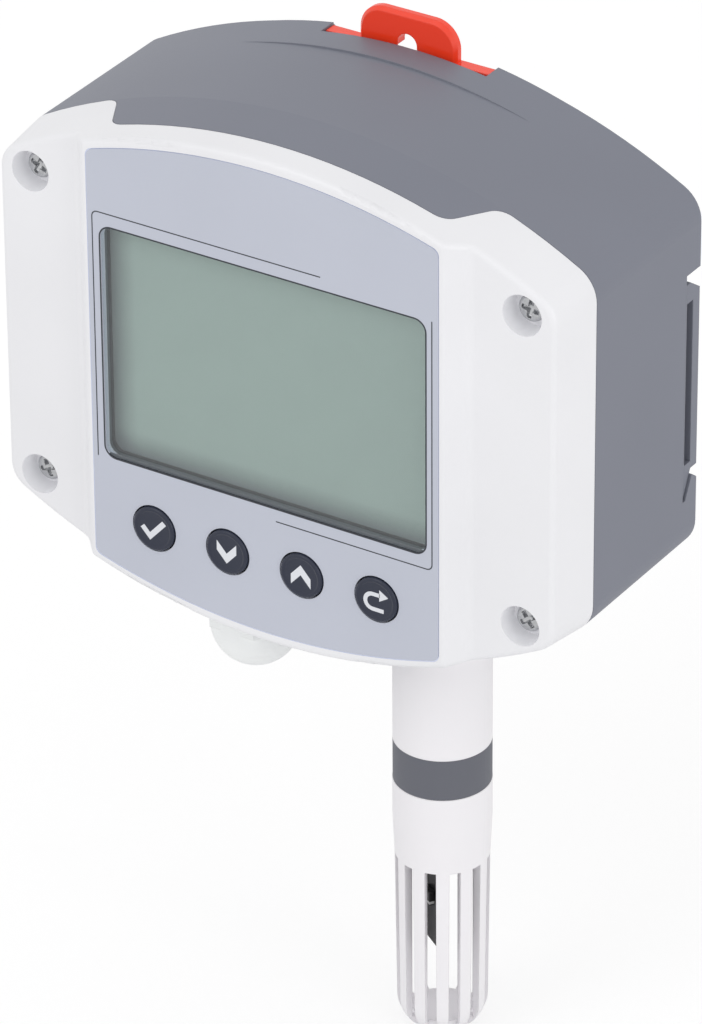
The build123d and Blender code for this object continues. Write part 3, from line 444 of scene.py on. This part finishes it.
def display_glass(colours):
    """Reflective liquid crystal cell behind a matt polariser: grey green, with a painted glow, and with
    painted shade along the window's lower and left edges, where the case keeps the light from its mirror."""
    lower_shade = (window_bottom - 1.8 * MM, window_bottom + 4.2 * MM)
    left_shade = (window_left - 1.2 * MM, window_left + 4.5 * MM)
    cloud_mm, frost_mm, frost_depth_mm = 9, 0.12, 0.002
    material, tree, out, place = blank("lcd_cell_matt_polariser")
    split = add(tree, "SeparateXYZ", links={"Vector": place})
    # painted shade: the tone darkens towards the window's lower and left edges
    up = add(tree, "MapRange", {"From Min": lower_shade[0], "From Max": lower_shade[1]},
             {"Value": split.outputs["Z"]})
    across = add(tree, "MapRange", {"From Min": left_shade[0], "From Max": left_shade[1], "To Min": 0.1},
                 {"Value": split.outputs["X"]})
    light = add(tree, "Math", links={0: up.outputs["Result"], 1: across.outputs["Result"]},
                operation="MULTIPLY")
    clouds = add(tree, "TexNoise", {"Scale": 1 / (cloud_mm * MM), "Detail": 1.0}, {"Vector": place})
    uneven = add(tree, "MapRange", {"To Min": 0.94, "To Max": 1.05}, {"Value": clouds.outputs["Fac"]})
    even = add(tree, "Math", links={0: light.outputs[0], 1: uneven.outputs["Result"]}, operation="MULTIPLY")
    tone = add(tree, "Mix", data_type="RGBA")
    tone.inputs[6].default_value, tone.inputs[7].default_value = colours.display_shade, colours.display
    tree.links.new(even.outputs[0], tone.inputs[0])
    frost = add(tree, "TexNoise", {"Scale": 1 / (frost_mm * MM), "Detail": 2.0}, {"Vector": place})
    bump = add(tree, "Bump", {"Strength": 0.03, "Distance": frost_depth_mm * MM},
               {"Height": frost.outputs["Fac"]})
    # painted light: the cell emits 0.3 of its own painted tone
    shader = add(tree, "BsdfPrincipled", {"Roughness": 0.55, "IOR": 1.5, "Emission Strength": 0.3},
                 {"Base Color": tone.outputs[2], "Emission Color": tone.outputs[2],
                  "Normal": bump.outputs["Normal"]})
    tree.links.new(shader.outputs["BSDF"], out.inputs["Surface"])
    return material


def pane_acrylic():
    """Cast acrylic pane, polished, so that the display shows clearly behind a faint mirror image; light
    for shadows goes straight through it."""
    haze_mm = 15
    material, tree, out, place = blank("acrylic_cast_polished")
    haze = add(tree, "TexNoise", {"Scale": 1 / (haze_mm * MM), "Detail": 3.0}, {"Vector": place})
    gloss = add(tree, "MapRange", {"To Min": 0.01, "To Max": 0.05}, {"Value": haze.outputs["Fac"]})
    shader = add(tree, "BsdfPrincipled", {"Transmission Weight": 1.0, "IOR": 1.49},
                 {"Roughness": gloss.outputs["Result"]})
    straight = add(tree, "BsdfTransparent", {"Color": (0.97, 0.98, 0.98, 1.0)})
    path = add(tree, "LightPath")
    mix = add(tree, "MixShader", links={0: path.outputs["Is Shadow Ray"]})
    tree.links.new(shader.outputs["BSDF"], mix.inputs[1])
    tree.links.new(straight.outputs["BSDF"], mix.inputs[2])
    tree.links.new(mix.outputs["Shader"], out.inputs["Surface"])
    return material


def circuit_board(name, mask_code, ior):
    """Glass-epoxy board under satin solder mask: copper raises it in a pattern of oblong fields."""
    track_mm, copper_mm = 6, 0.035
    base = linear(mask_code)
    material, tree, out, place = blank(name)
    tracks = add(tree, "TexBrick",
                 {"Scale": 1 / (track_mm * MM), "Mortar Size": 0.04, "Color1": base,
                  "Color2": shade(base, 1.25), "Mortar": shade(base, 1.6)}, {"Vector": place})
    bump = add(tree, "Bump", {"Strength": 0.4, "Distance": copper_mm * MM}, {"Height": tracks.outputs["Fac"]})
    shader = add(tree, "BsdfPrincipled", {"Roughness": 0.35, "IOR": ior},
                 {"Base Color": tracks.outputs["Color"], "Normal": bump.outputs["Normal"]})
    tree.links.new(shader.outputs["BSDF"], out.inputs["Surface"])
    return material


def ink(name, base):
    """Screen-printed ink: a flat satin coat whose gloss varies with the mesh of the screen."""
    return moulded(name, base, roughness=0.5, grain_mm=0.12, depth_mm=0.004, ior=1.5, gloss_spread=0.1)


def sensor_chip():
    """Moulded epoxy body of the sensor chip, dull black, with a white membrane low on it."""
    low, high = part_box("sensor_chip")
    height = high.z - low.z
    membrane = (low.z + 0.08 * height, low.z + 0.27 * height)
    material = moulded("epoxy_black_moulded_chip", linear("1A1A1C"), roughness=0.5, grain_mm=0.2,
                       depth_mm=0.01)
    mask(material, linear("D6D6D6"), {"Z": membrane})
    return material


def finishes(colours):
    """Every material of the sensor, by the record's slot."""
    return {
        "cover_white": cover_abs(colours),
        # ABS moulded against spark-eroded steel: an even dull grey with a fine grain and soft edges
        "housing_grey": moulded("abs_spark_texture_grey", colours.housing, roughness=0.5, grain_mm=0.3,
                                depth_mm=0.02, edge_mm=0.25),
        "printed_film": film_polyester(colours),
        "display_glass": display_glass(colours),
        "clear_acrylic": pane_acrylic(),
        # Polycarbonate with carbon black, matt so that the frame stays dark behind the window
        "grey_frame": moulded("polycarbonate_frame_matt", shade(colours.frame, 0.5), roughness=0.6,
                              grain_mm=0.2, depth_mm=0.01),
        # Polycarbonate from a fine-ground mould: nearly black, with a satin sheen on the rims
        "key_black": moulded("polycarbonate_key_satin", colours.key, roughness=0.34, grain_mm=0.5,
                             depth_mm=0.008, ior=1.44),
        # Polyamide from a polished mould: glossy, with soft bright edges, and a painted glow that brightens
        # it all over
        "clip_red": moulded("polyamide_red_gloss", colours.clip, roughness=0.24, grain_mm=2.5,
                            depth_mm=0.01, ior=1.55, edge_mm=0.3, glow=0.14),
        # Matt ABS: a plain grey band that hardly reflects
        "ring_grey": moulded("abs_matt_grey_ring", colours.ring, roughness=0.55, grain_mm=0.3,
                             depth_mm=0.015),
        # Satin ABS: white with a broad soft highlight along tube and ribs
        "probe_white": moulded("abs_satin_white_probe", colours.probe, roughness=0.42, grain_mm=0.3,
                               depth_mm=0.012, edge_mm=0.18),
        # Moulded polyamide: a cooler white, a little waxy on its rounded nut
        "gland_white": moulded("polyamide_white_gland", colours.gland, roughness=0.4, grain_mm=0.4,
                               depth_mm=0.015, ior=1.53, edge_mm=0.2),
        # Zinc-plated steel: bright and cool, its plating a little uneven
        "zinc_steel": metal("steel_zinc_plated", linear("C9CACC"), roughness=0.24, patch_mm=0.25),
        # Turned brass: yellow, its shine broken up by the marks of the lathe
        "brass": metal("brass_turned", linear("C9A55A"), roughness=0.3, patch_mm=0.15),
        # Tinned phosphor bronze: pale and soft, without a sharp mirror image
        "tinned_pins": metal("phosphor_bronze_tinned", linear("C8C8C4"), roughness=0.3, patch_mm=0.1),
        # Deep-drawn aluminium: grey, its shine broken up by the marks of the drawing
        "capacitor_can": metal("aluminium_drawn_can", linear("B4B6BA"), roughness=0.35, patch_mm=0.3),
        # Moulded silicone rubber: dull black, lighter only at a low angle
        "black_rubber": moulded("silicone_rubber_moulded", linear("1B1B1D"), roughness=0.75, grain_mm=0.3,
                                depth_mm=0.03, ior=1.42),
        # Milky acrylic: an even soft white that spreads light
        "light_guide": moulded("acrylic_milky_guide", linear("E6E8E0"), roughness=0.35, grain_mm=1.0,
                               depth_mm=0.01, ior=1.49),
        "green_board": circuit_board("glass_epoxy_green_mask", "14502C", 1.5),
        # Matt black mask reflects less than the green one
        "black_board": circuit_board("glass_epoxy_black_mask", "0D0D10", 1.33),
        # Glass-filled polyamide: black with a slight grain
        "black_plastic": moulded("polyamide_black_moulded", linear("202023"), roughness=0.5, grain_mm=0.2,
                                 depth_mm=0.01),
        # Polyamide of the terminals: flat green with a dry sheen
        "terminal_green": moulded("polyamide_green_terminal", linear("2F7A47"), roughness=0.5, grain_mm=0.3,
                                  depth_mm=0.015, ior=1.53),
        # Natural polyamide: a warm off-white
        "socket_white": moulded("polyamide_natural_socket", linear("E2DFD2"), roughness=0.5, grain_mm=0.3,
                                depth_mm=0.015, ior=1.53),
        "chip_white": sensor_chip(),
    }


# Operators

class SensorOperator(bpy.types.Operator):
    """Base of the sensor's operators."""

    bl_options = {"REGISTER", "UNDO"}

    @property
    def sizes(self):
        return bpy.context.scene.sensor_sizes

    @property
    def colours(self):
        return bpy.context.scene.sensor_colours


class SENSOR_OT_finishes(SensorOperator):
    """Give every solid of the sensor the finish of its material slot"""

    bl_idname = "sensor.finishes"
    bl_label = "Finishes"

    def execute(self, context):
        by_slot = finishes(self.colours)
        slots = {part["node"]: part["material_slot"] for part in record["subparts"]}
        for node, obj in frame["nodes"].items():
            obj.data.materials.clear()
            obj.data.materials.append(by_slot[slots[node]])
        for slot, material in by_slot.items():
            material["sensor_slot"] = slot
        return {"FINISHED"}


def finish(slot):
    """The material that the finishes operator made for a slot."""
    for material in bpy.data.materials:
        if material.get("sensor_slot") == slot:
            return material
    raise RuntimeError(f"the finish {slot} isn't there: run Finishes first")


KEY_MIDDLE_SHARE = 0.02         # of a key's radius, the first ring round its middle
KEY_FLAT_SHARE = 0.77           # of a key's radius, where its flat face ends
KEY_CREST_SHARE = 0.87          # of a key's radius, where its rim is highest
KEY_EASE = 0.08 * MM            # easing of the edges of a key's flange and stem
KEY_SIDES = 72                  # points in each ring round a key
STEP_RINGS = 7                  # rings of points over the step from the flat face to the crest
RIM_RINGS = 9                   # and from the crest down to the film's level


def key_face(sizes):
    """Radii and heights over the film of a key's face: flat in the middle, a smooth step up to the
    rim's crest, and a quarter of an ellipse down to the film's level."""
    step = np.linspace(0, 1, STEP_RINGS)
    turn = np.linspace(0, np.pi / 2, RIM_RINGS + 1)[1:]
    flat = sizes.key_dome - sizes.key_dish
    share = [KEY_MIDDLE_SHARE, *(KEY_FLAT_SHARE + (KEY_CREST_SHARE - KEY_FLAT_SHARE) * step),
             *(KEY_CREST_SHARE + (1 - KEY_CREST_SHARE) * np.sin(turn))]
    height = [flat, *(flat + sizes.key_dish * smooth_step(step)), *(sizes.key_dome * np.cos(turn))]
    return np.array(share) * sizes.key_radius, np.array(height)


def key_centre(name):
    """X and Z of a key's axis."""
    low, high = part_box(f"button_{name}")
    return (low.x + high.x) / 2, (low.z + high.z) / 2


class SENSOR_OT_keys(SensorOperator):
    """Build the four domed key caps with their stop flanges and stems"""

    bl_idname = "sensor.keys"
    bl_label = "Keys"

    def execute(self, context):
        sizes = self.sizes
        face_radius, face_height = key_face(sizes)
        flange_front = FILM_Y + sizes.key_skirt
        flange_back = flange_front + sizes.key_flange
        for name in KEYS:
            low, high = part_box(f"button_{name}")
            flange_radius = (high.x - low.x) / 2
            profile = [
                *zip(face_radius, FILM_Y - face_height),
                (sizes.key_radius, flange_front),
                (flange_radius - KEY_EASE, flange_front),
                (flange_radius, flange_front + KEY_EASE),
                (flange_radius, flange_back - KEY_EASE),
                (flange_radius - KEY_EASE, flange_back),
                (sizes.key_stem, flange_back),
                (sizes.key_stem, high.y - KEY_EASE),
                (sizes.key_stem - KEY_EASE, high.y),
            ]
            radius, y = np.array(profile).T
            rings = lathe(*key_centre(name), radius, y, KEY_SIDES)
            cap = piece(f"key_cap_{name}", [skin(rings)], finish("key_black"), f"key_{name}",
                        sharp=40)
            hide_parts(f"button_{name}")
        return {"FINISHED"}


def tick_strokes():
    """Tick mark: a short run down and a longer one up."""
    width = 0.95 * MM
    path = np.array([(-2.1, 0.15), (-0.65, -1.4), (2.1, 1.65)]) * MM
    return [(path, mitres(path, width))]


def chevron_strokes(sign):
    """Chevron whose arms are cut off upright: sign is -1 for down and 1 for up."""
    half_height = 0.9 * MM
    path = np.array([(-1.85, -0.95 * sign), (0.0, 1.1 * sign), (1.85, -0.95 * sign)]) * MM
    return [(path, np.tile([0.0, half_height], (3, 1)))]


def return_strokes():
    """Return arrow: a hook open to the right, with a head on its upper arm."""
    width, head_width, point_width = 0.72 * MM, 2.1 * MM, 0.1 * MM
    bend = arc((-0.55 * MM, -0.35 * MM), 1.35 * MM, 90, 270, BEND_POINTS)
    hook = np.vstack([[(0.8 * MM, 1.0 * MM)], bend, [(1.5 * MM, -1.7 * MM)]])
    head = np.array([(0.7, 1.0), (2.3, 1.0)]) * MM
    return [(hook, mitres(hook, width)), (head, mitres(head, [head_width, point_width]))]


class SENSOR_OT_key_symbols(SensorOperator):
    """Print the symbols on the keys: tick, down, up and return"""

    bl_idname = "sensor.key_symbols"
    bl_label = "Key symbols"

    def execute(self, context):
        sizes = self.sizes
        white = ink("ink_screen_printed_white", self.colours.symbol)
        marks = {"ok": tick_strokes(), "down": chevron_strokes(-1), "up": chevron_strokes(1),
                 "back": return_strokes()}
        face_y = FILM_Y - sizes.key_dome + sizes.key_dish
        for name, strokes in marks.items():
            centre = key_centre(name)
            surfaces = [skin(ribbon(path + centre, half, face_y, sizes.print_height))
                        for path, half in strokes]
            piece(f"key_symbol_{name}", surfaces, white, f"key_{name}")
        return {"FINISHED"}


def rounded_path(corner_points, radius, closed):
    """Path through right-angled corners in X and Z, each rounded by a quarter circle: the arc leaves
    each run at one radius from the corner, and its points lie on the circle that touches both."""
    points = np.array(corner_points)
    rounds = []
    order = range(len(points)) if closed else range(1, len(points) - 1)
    for i in order:
        before = points[i - 1] - points[i]
        after = points[(i + 1) % len(points)] - points[i]
        before, after = before / np.linalg.norm(before), after / np.linalg.norm(after)
        centre = points[i] + (before + after) * radius
        angle = np.linspace(0, np.pi / 2, CORNER_POINTS)[:, None]
        rounds.append(centre - after * radius * np.cos(angle) - before * radius * np.sin(angle))
    if closed:
        return np.vstack(rounds)
    return np.vstack([points[:1], *rounds, points[-1:]])


UPPER_LINE_SHARE = 0.17         # of the film's width, from its middle to the upper line's free end
LOWER_LINE_SHARE = 0.035        # of the film's width, from its middle to the lower line's free end


class SENSOR_OT_film_print(SensorOperator):
    """Print the outline round the window and the two open lines beside it"""

    bl_idname = "sensor.film_print"
    bl_label = "Film print"

    def execute(self, context):
        sizes = self.sizes
        dark = ink("ink_screen_printed_dark", self.colours.ink)
        half = sizes.outline_width / 2
        box = [(window_left - half, window_bottom - half), (window_right + half, window_bottom - half),
               (window_right + half, window_top + half), (window_left - half, window_top + half)]
        path = rounded_path(box, WINDOW_CORNER + half, True)
        rings = ribbon(path, mitres(path, sizes.outline_width, True), FILM_Y, sizes.print_height)
        piece("window_outline", [skin(rings, True)], dark, "case")
        left, right = window_left - sizes.left_gap, window_right + sizes.right_gap
        high, low = window_top + sizes.line_rise, window_bottom - sizes.line_rise
        width = film_high.x - film_low.x
        strokes = [
            [(left, window_bottom - sizes.line_end), (left, high), (UPPER_LINE_SHARE * width, high)],
            [(right, window_top + sizes.line_end), (right, low), (LOWER_LINE_SHARE * width, low)],
        ]
        surfaces = []
        for corner_points in strokes:
            path = rounded_path(corner_points, sizes.line_corner, False)
            rings = ribbon(path, mitres(path, sizes.line_width), FILM_Y, sizes.print_height)
            surfaces.append(skin(rings))
        piece("film_lines", surfaces, dark, "case")
        return {"FINISHED"}


# Heads and threads of the cover screws
SCREW_SIDES = 96                # points in each ring round a screw
FACE_RINGS = 30                 # rings of points over the head's face
EDGE_RINGS = 7                  # and over its rounded edge
HEAD_EDGE = 0.55 * MM           # width of the head's rounded edge
HEAD_EDGE_DROP = 0.75 * MM      # height of the head's rounded edge
CROWN_DROP = 0.18 * MM          # how far the head's face falls from its middle to its radius
CROSS_EASE = 0.16 * MM          # width of the slope at the cross recess's walls
CROSS_FUNNEL_SHARE = 0.55       # of the recess's depth, lost from its middle to its arms' ends
MIDDLE_RADIUS = 0.02 * MM       # of the first ring round the face's middle
THREAD_DEPTH = 0.35 * MM
THREAD_RINGS = 8                # rings of points to a turn of the thread
THREAD_STEEPNESS = 1.6          # how much steeper its sides are than an even zigzag's
BARE_NECK = 1.2 * MM            # shank under the head without a thread
BARE_TIP = 1.0 * MM             # tip without a thread
THREAD_END = 0.2 * MM           # over which the thread runs out
TIP_SHARE = 0.6                 # of the thread's root radius, at the tip


def screw_head(sizes, x, z, front_y, turn_offset):
    """Pan head as rings about its axis. Its face is a low dome that falls with the square of the
    radius; the cross recess lowers it wherever a point lies inside one of two crossed bars, deeper
    towards the middle. Its edge is a quarter of an ellipse."""
    turn = np.linspace(0, 2 * np.pi, SCREW_SIDES, endpoint=False)
    flat = sizes.head_radius - HEAD_EDGE
    radius = np.linspace(MIDDLE_RADIUS, flat, FACE_RINGS)[:, None]
    along = radius * np.cos(turn - turn_offset)
    beside = radius * np.sin(turn - turn_offset)
    bars = [smooth_step((sizes.cross_half - np.abs(a)) / CROSS_EASE + 0.5)
            * smooth_step((sizes.cross_reach - np.abs(b)) / CROSS_EASE + 0.5)
            for a, b in ((along, beside), (beside, along))]
    funnel = sizes.cross_depth * (1 - CROSS_FUNNEL_SHARE * radius / sizes.cross_reach)
    crown = front_y + CROWN_DROP * (radius / sizes.head_radius) ** 2
    face_y = crown + np.maximum(*bars) * np.maximum(funnel, 0)
    ease = np.linspace(0, np.pi / 2, EDGE_RINGS + 1)[1:]
    edge_radius = flat + HEAD_EDGE * np.sin(ease)
    edge_y = crown[-1, 0] + HEAD_EDGE_DROP * (1 - np.cos(ease))
    return [lathe(x, z, radius, face_y, SCREW_SIDES), lathe(x, z, edge_radius, edge_y, SCREW_SIDES)]


def screw_shank(sizes, x, z, seat_y, end_y):
    """Shank as rings about its axis: the thread's radius is a zigzag of the height plus the turn's
    share of the pitch, cut off flat at its crest and its root."""
    turn = np.linspace(0, 2 * np.pi, SCREW_SIDES, endpoint=False)
    pitch, root = sizes.thread_pitch, sizes.shank_radius - THREAD_DEPTH
    start, stop = seat_y + BARE_NECK, end_y - BARE_TIP
    height = np.linspace(start, stop, int((stop - start) / pitch * THREAD_RINGS))[:, None]
    wave = np.abs(((height / pitch + turn / (2 * np.pi)) % 1) - 0.5) * 2
    thread = root + THREAD_DEPTH * np.clip(0.5 + THREAD_STEEPNESS * (wave - 0.5), 0, 1)
    neck = np.array([(sizes.head_radius, seat_y), (root, seat_y), (root, start - THREAD_END)])
    tip = np.array([(root, stop + THREAD_END), (root * TIP_SHARE, end_y)])
    return [lathe(x, z, *neck.T, SCREW_SIDES), lathe(x, z, thread, height, SCREW_SIDES),
            lathe(x, z, *tip.T, SCREW_SIDES)]


class SENSOR_OT_cover_screws(SensorOperator):
    """Build the four cross-recess screws of the cover"""

    bl_idname = "sensor.cover_screws"
    bl_label = "Cover screws"

    def execute(self, context):
        sizes = self.sizes
        front_y, end_y = screws_low.y, screws_high.y
        surfaces = []
        for (x, z), turn in zip(SCREW_PLACES, SCREW_TURNS):
            rings = screw_head(sizes, x, z, front_y, turn)
            rings += screw_shank(sizes, x, z, front_y + sizes.head_height, end_y)
            surfaces.append(skin(np.vstack(rings)))
        screws = piece("cross_recess_screws", surfaces, finish("zinc_steel"), "case",
                       sharp=35)
        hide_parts("cover_screws")
        return {"FINISHED"}


# Stage

AZIMUTH = 32.666                # degrees: how far round to the right the camera stands
ELEVATION = 30.047
ROLL = -0.421
DISTANCE = 1129.572 * MM
AIM_DEPTH = -24.0 * MM          # about the middle of the case
AIM_RIGHT = 2.081 * MM
AIM_UP = -25.977 * MM
LENS = 250.18                   # millimetres, for the camera frame's long side
CAMERA_FRAME = 36.0             # millimetres: the frame's long side
CLIP_END = 20                   # metres

LAMPS = {"key_lamp": (-0.5, -1.3, 1.1), "side_lamp": (1.5, -0.5, 0.4)}     # places in metres
LAMP_SIZE = 0.9                 # metres
LAMP_POWER = 3.5                # watts
WORLD_LIGHT = 0.81              # strength of the white surroundings where they aren't seen
FLOOR_HALF = 3.0                # metres
FLOOR_DROP = 0.3 * MM           # from the sensor's lowest point to the floor
FLOOR_WHITE = 1.2               # strength of the white that the camera sees in the floor
FLOOR_WHITE_SHARE = 0.5         # of what the camera sees in the floor


def camera_axes():
    """Right, up and backward vectors of the camera from its azimuth, elevation and roll."""
    azimuth, elevation, roll = (math.radians(v) for v in (AZIMUTH, ELEVATION, ROLL))
    back = Vector((math.sin(azimuth) * math.cos(elevation), -math.cos(azimuth) * math.cos(elevation),
                   math.sin(elevation)))
    level = Vector((math.cos(azimuth), math.sin(azimuth), 0))
    upright = back.cross(level)
    right = level * math.cos(roll) + upright * math.sin(roll)
    up = upright * math.cos(roll) - level * math.sin(roll)
    return right, up, back


def add_camera():
    """Camera at the photograph's viewing angle."""
    right, up, back = camera_axes()
    aim = Vector((0, AIM_DEPTH, 0)) + right * AIM_RIGHT + up * AIM_UP
    data = bpy.data.cameras.new("camera")
    data.lens = LENS
    data.sensor_width = CAMERA_FRAME
    data.clip_end = CLIP_END
    camera = bpy.data.objects.new("camera", data)
    turn = Matrix((right, up, back)).transposed().to_4x4()
    camera.matrix_world = Matrix.Translation(aim + back * DISTANCE) @ turn
    bpy.context.scene.collection.objects.link(camera)
    bpy.context.scene.camera = camera


def add_lamp(name, place):
    """Soft square lamp that shines from a place to the origin."""
    data = bpy.data.lights.new(name, "AREA")
    data.size = LAMP_SIZE
    data.energy = LAMP_POWER
    lamp = bpy.data.objects.new(name, data)
    lamp.location = place
    lamp.rotation_euler = (-Vector(place)).to_track_quat("-Z", "Y").to_euler()
    bpy.context.scene.collection.objects.link(lamp)


def seen_white(tree):
    """Background that is plain white where the camera, a reflection or glass looks at it, and lights
    the object at its own strength."""
    path = add(tree, "LightPath")
    seen = add(tree, "Math", links={0: path.outputs["Is Camera Ray"], 1: path.outputs["Is Glossy Ray"]},
               operation="MAXIMUM")
    seen = add(tree, "Math", links={0: seen.outputs[0], 1: path.outputs["Is Transmission Ray"]},
               operation="MAXIMUM")
    lit = add(tree, "Background", {"Color": (1, 1, 1, 1), "Strength": WORLD_LIGHT})
    white = add(tree, "Background", {"Color": (1, 1, 1, 1), "Strength": 1.0})
    mix = add(tree, "MixShader", links={0: seen.outputs[0]})
    tree.links.new(lit.outputs["Background"], mix.inputs[1])
    tree.links.new(white.outputs["Background"], mix.inputs[2])
    return mix.outputs["Shader"]


def add_world():
    """White surroundings."""
    world = bpy.data.worlds.new("studio")
    world.use_nodes = True
    tree = world.node_tree
    tree.nodes.clear()
    out = tree.nodes.new("ShaderNodeOutputWorld")
    tree.links.new(seen_white(tree), out.inputs["Surface"])
    bpy.context.scene.world = world


def floor_paper(colours):
    """Matt paper. Where the camera looks at it, a share of it is plain white, so that it reads as a
    white background and still keeps the object's shadow; it lights the object as paper does."""
    fibre_mm, fibre_depth_mm = 4, 0.1
    material, tree, out, place = blank("paper_floor_matt")
    fibres = add(tree, "TexNoise", {"Scale": 1 / (fibre_mm * MM), "Detail": 3.0}, {"Vector": place})
    bump = add(tree, "Bump", {"Strength": 0.05, "Distance": fibre_depth_mm * MM},
               {"Height": fibres.outputs["Fac"]})
    paper = add(tree, "BsdfDiffuse", {"Color": colours.floor}, {"Normal": bump.outputs["Normal"]})
    path = add(tree, "LightPath")
    white = add(tree, "Emission", {"Color": (1, 1, 1, 1), "Strength": FLOOR_WHITE})
    share = add(tree, "Math", {1: FLOOR_WHITE_SHARE}, {0: path.outputs["Is Camera Ray"]},
                operation="MULTIPLY")
    mix = add(tree, "MixShader", links={0: share.outputs[0]})
    tree.links.new(paper.outputs["BSDF"], mix.inputs[1])
    tree.links.new(white.outputs["Emission"], mix.inputs[2])
    tree.links.new(mix.outputs["Shader"], out.inputs["Surface"])
    return material


def add_floor(colours):
    """Square floor just under the sensor's lowest point."""
    corners = np.array([(-1, -1, 0), (1, -1, 0), (1, 1, 0), (-1, 1, 0)]) * FLOOR_HALF
    corners += (0, 0, cad_box[0].z - FLOOR_DROP)
    mesh = bpy.data.meshes.new("floor")
    mesh.from_pydata(corners.tolist(), [], [[0, 1, 2, 3]])
    mesh.materials.append(floor_paper(colours))
    floor = bpy.data.objects.new("floor", mesh)
    bpy.context.scene.collection.objects.link(floor)


class SENSOR_OT_stage(SensorOperator):
    """Set the floor, the lamps, the background and the camera"""

    bl_idname = "sensor.stage"
    bl_label = "Stage"

    def execute(self, context):
        context.scene.view_settings.view_transform = "Standard"
        add_floor(self.colours)
        add_world()
        for name, place in LAMPS.items():
            add_lamp(name, place)
        add_camera()
        return {"FINISHED"}


class SENSOR_PT_panel(bpy.types.Panel):
    """Panel in the 3D view's sidebar"""

    bl_label = "Sensor"
    bl_space_type = "VIEW_3D"
    bl_region_type = "UI"
    bl_category = "Sensor"

    def draw(self, context):
        layout = self.layout
        for operator in OPERATORS:
            layout.operator(operator.bl_idname)
        for group in (context.scene.sensor_sizes, context.scene.sensor_colours):
            column = layout.column()
            for name in group.__annotations__:
                column.prop(group, name)


OPERATORS = (SENSOR_OT_finishes, SENSOR_OT_keys, SENSOR_OT_key_symbols, SENSOR_OT_film_print,
             SENSOR_OT_cover_screws, SENSOR_OT_stage)
CLASSES = (SensorColours, SensorSizes, *OPERATORS, SENSOR_PT_panel)


def register():
    for cls in CLASSES:
        bpy.utils.register_class(cls)
    bpy.types.Scene.sensor_colours = bpy.props.PointerProperty(type=SensorColours)
    bpy.types.Scene.sensor_sizes = bpy.props.PointerProperty(type=SensorSizes)


def unregister():
    del bpy.types.Scene.sensor_sizes
    del bpy.types.Scene.sensor_colours
    for cls in reversed(CLASSES):
        bpy.utils.unregister_class(cls)


def main():
    register()
    bpy.ops.sensor.finishes()
    bpy.ops.sensor.keys()
    bpy.ops.sensor.key_symbols()
    bpy.ops.sensor.film_print()
    bpy.ops.sensor.cover_screws()
    bpy.ops.sensor.stage()


if __name__ == "__main__":
    main()
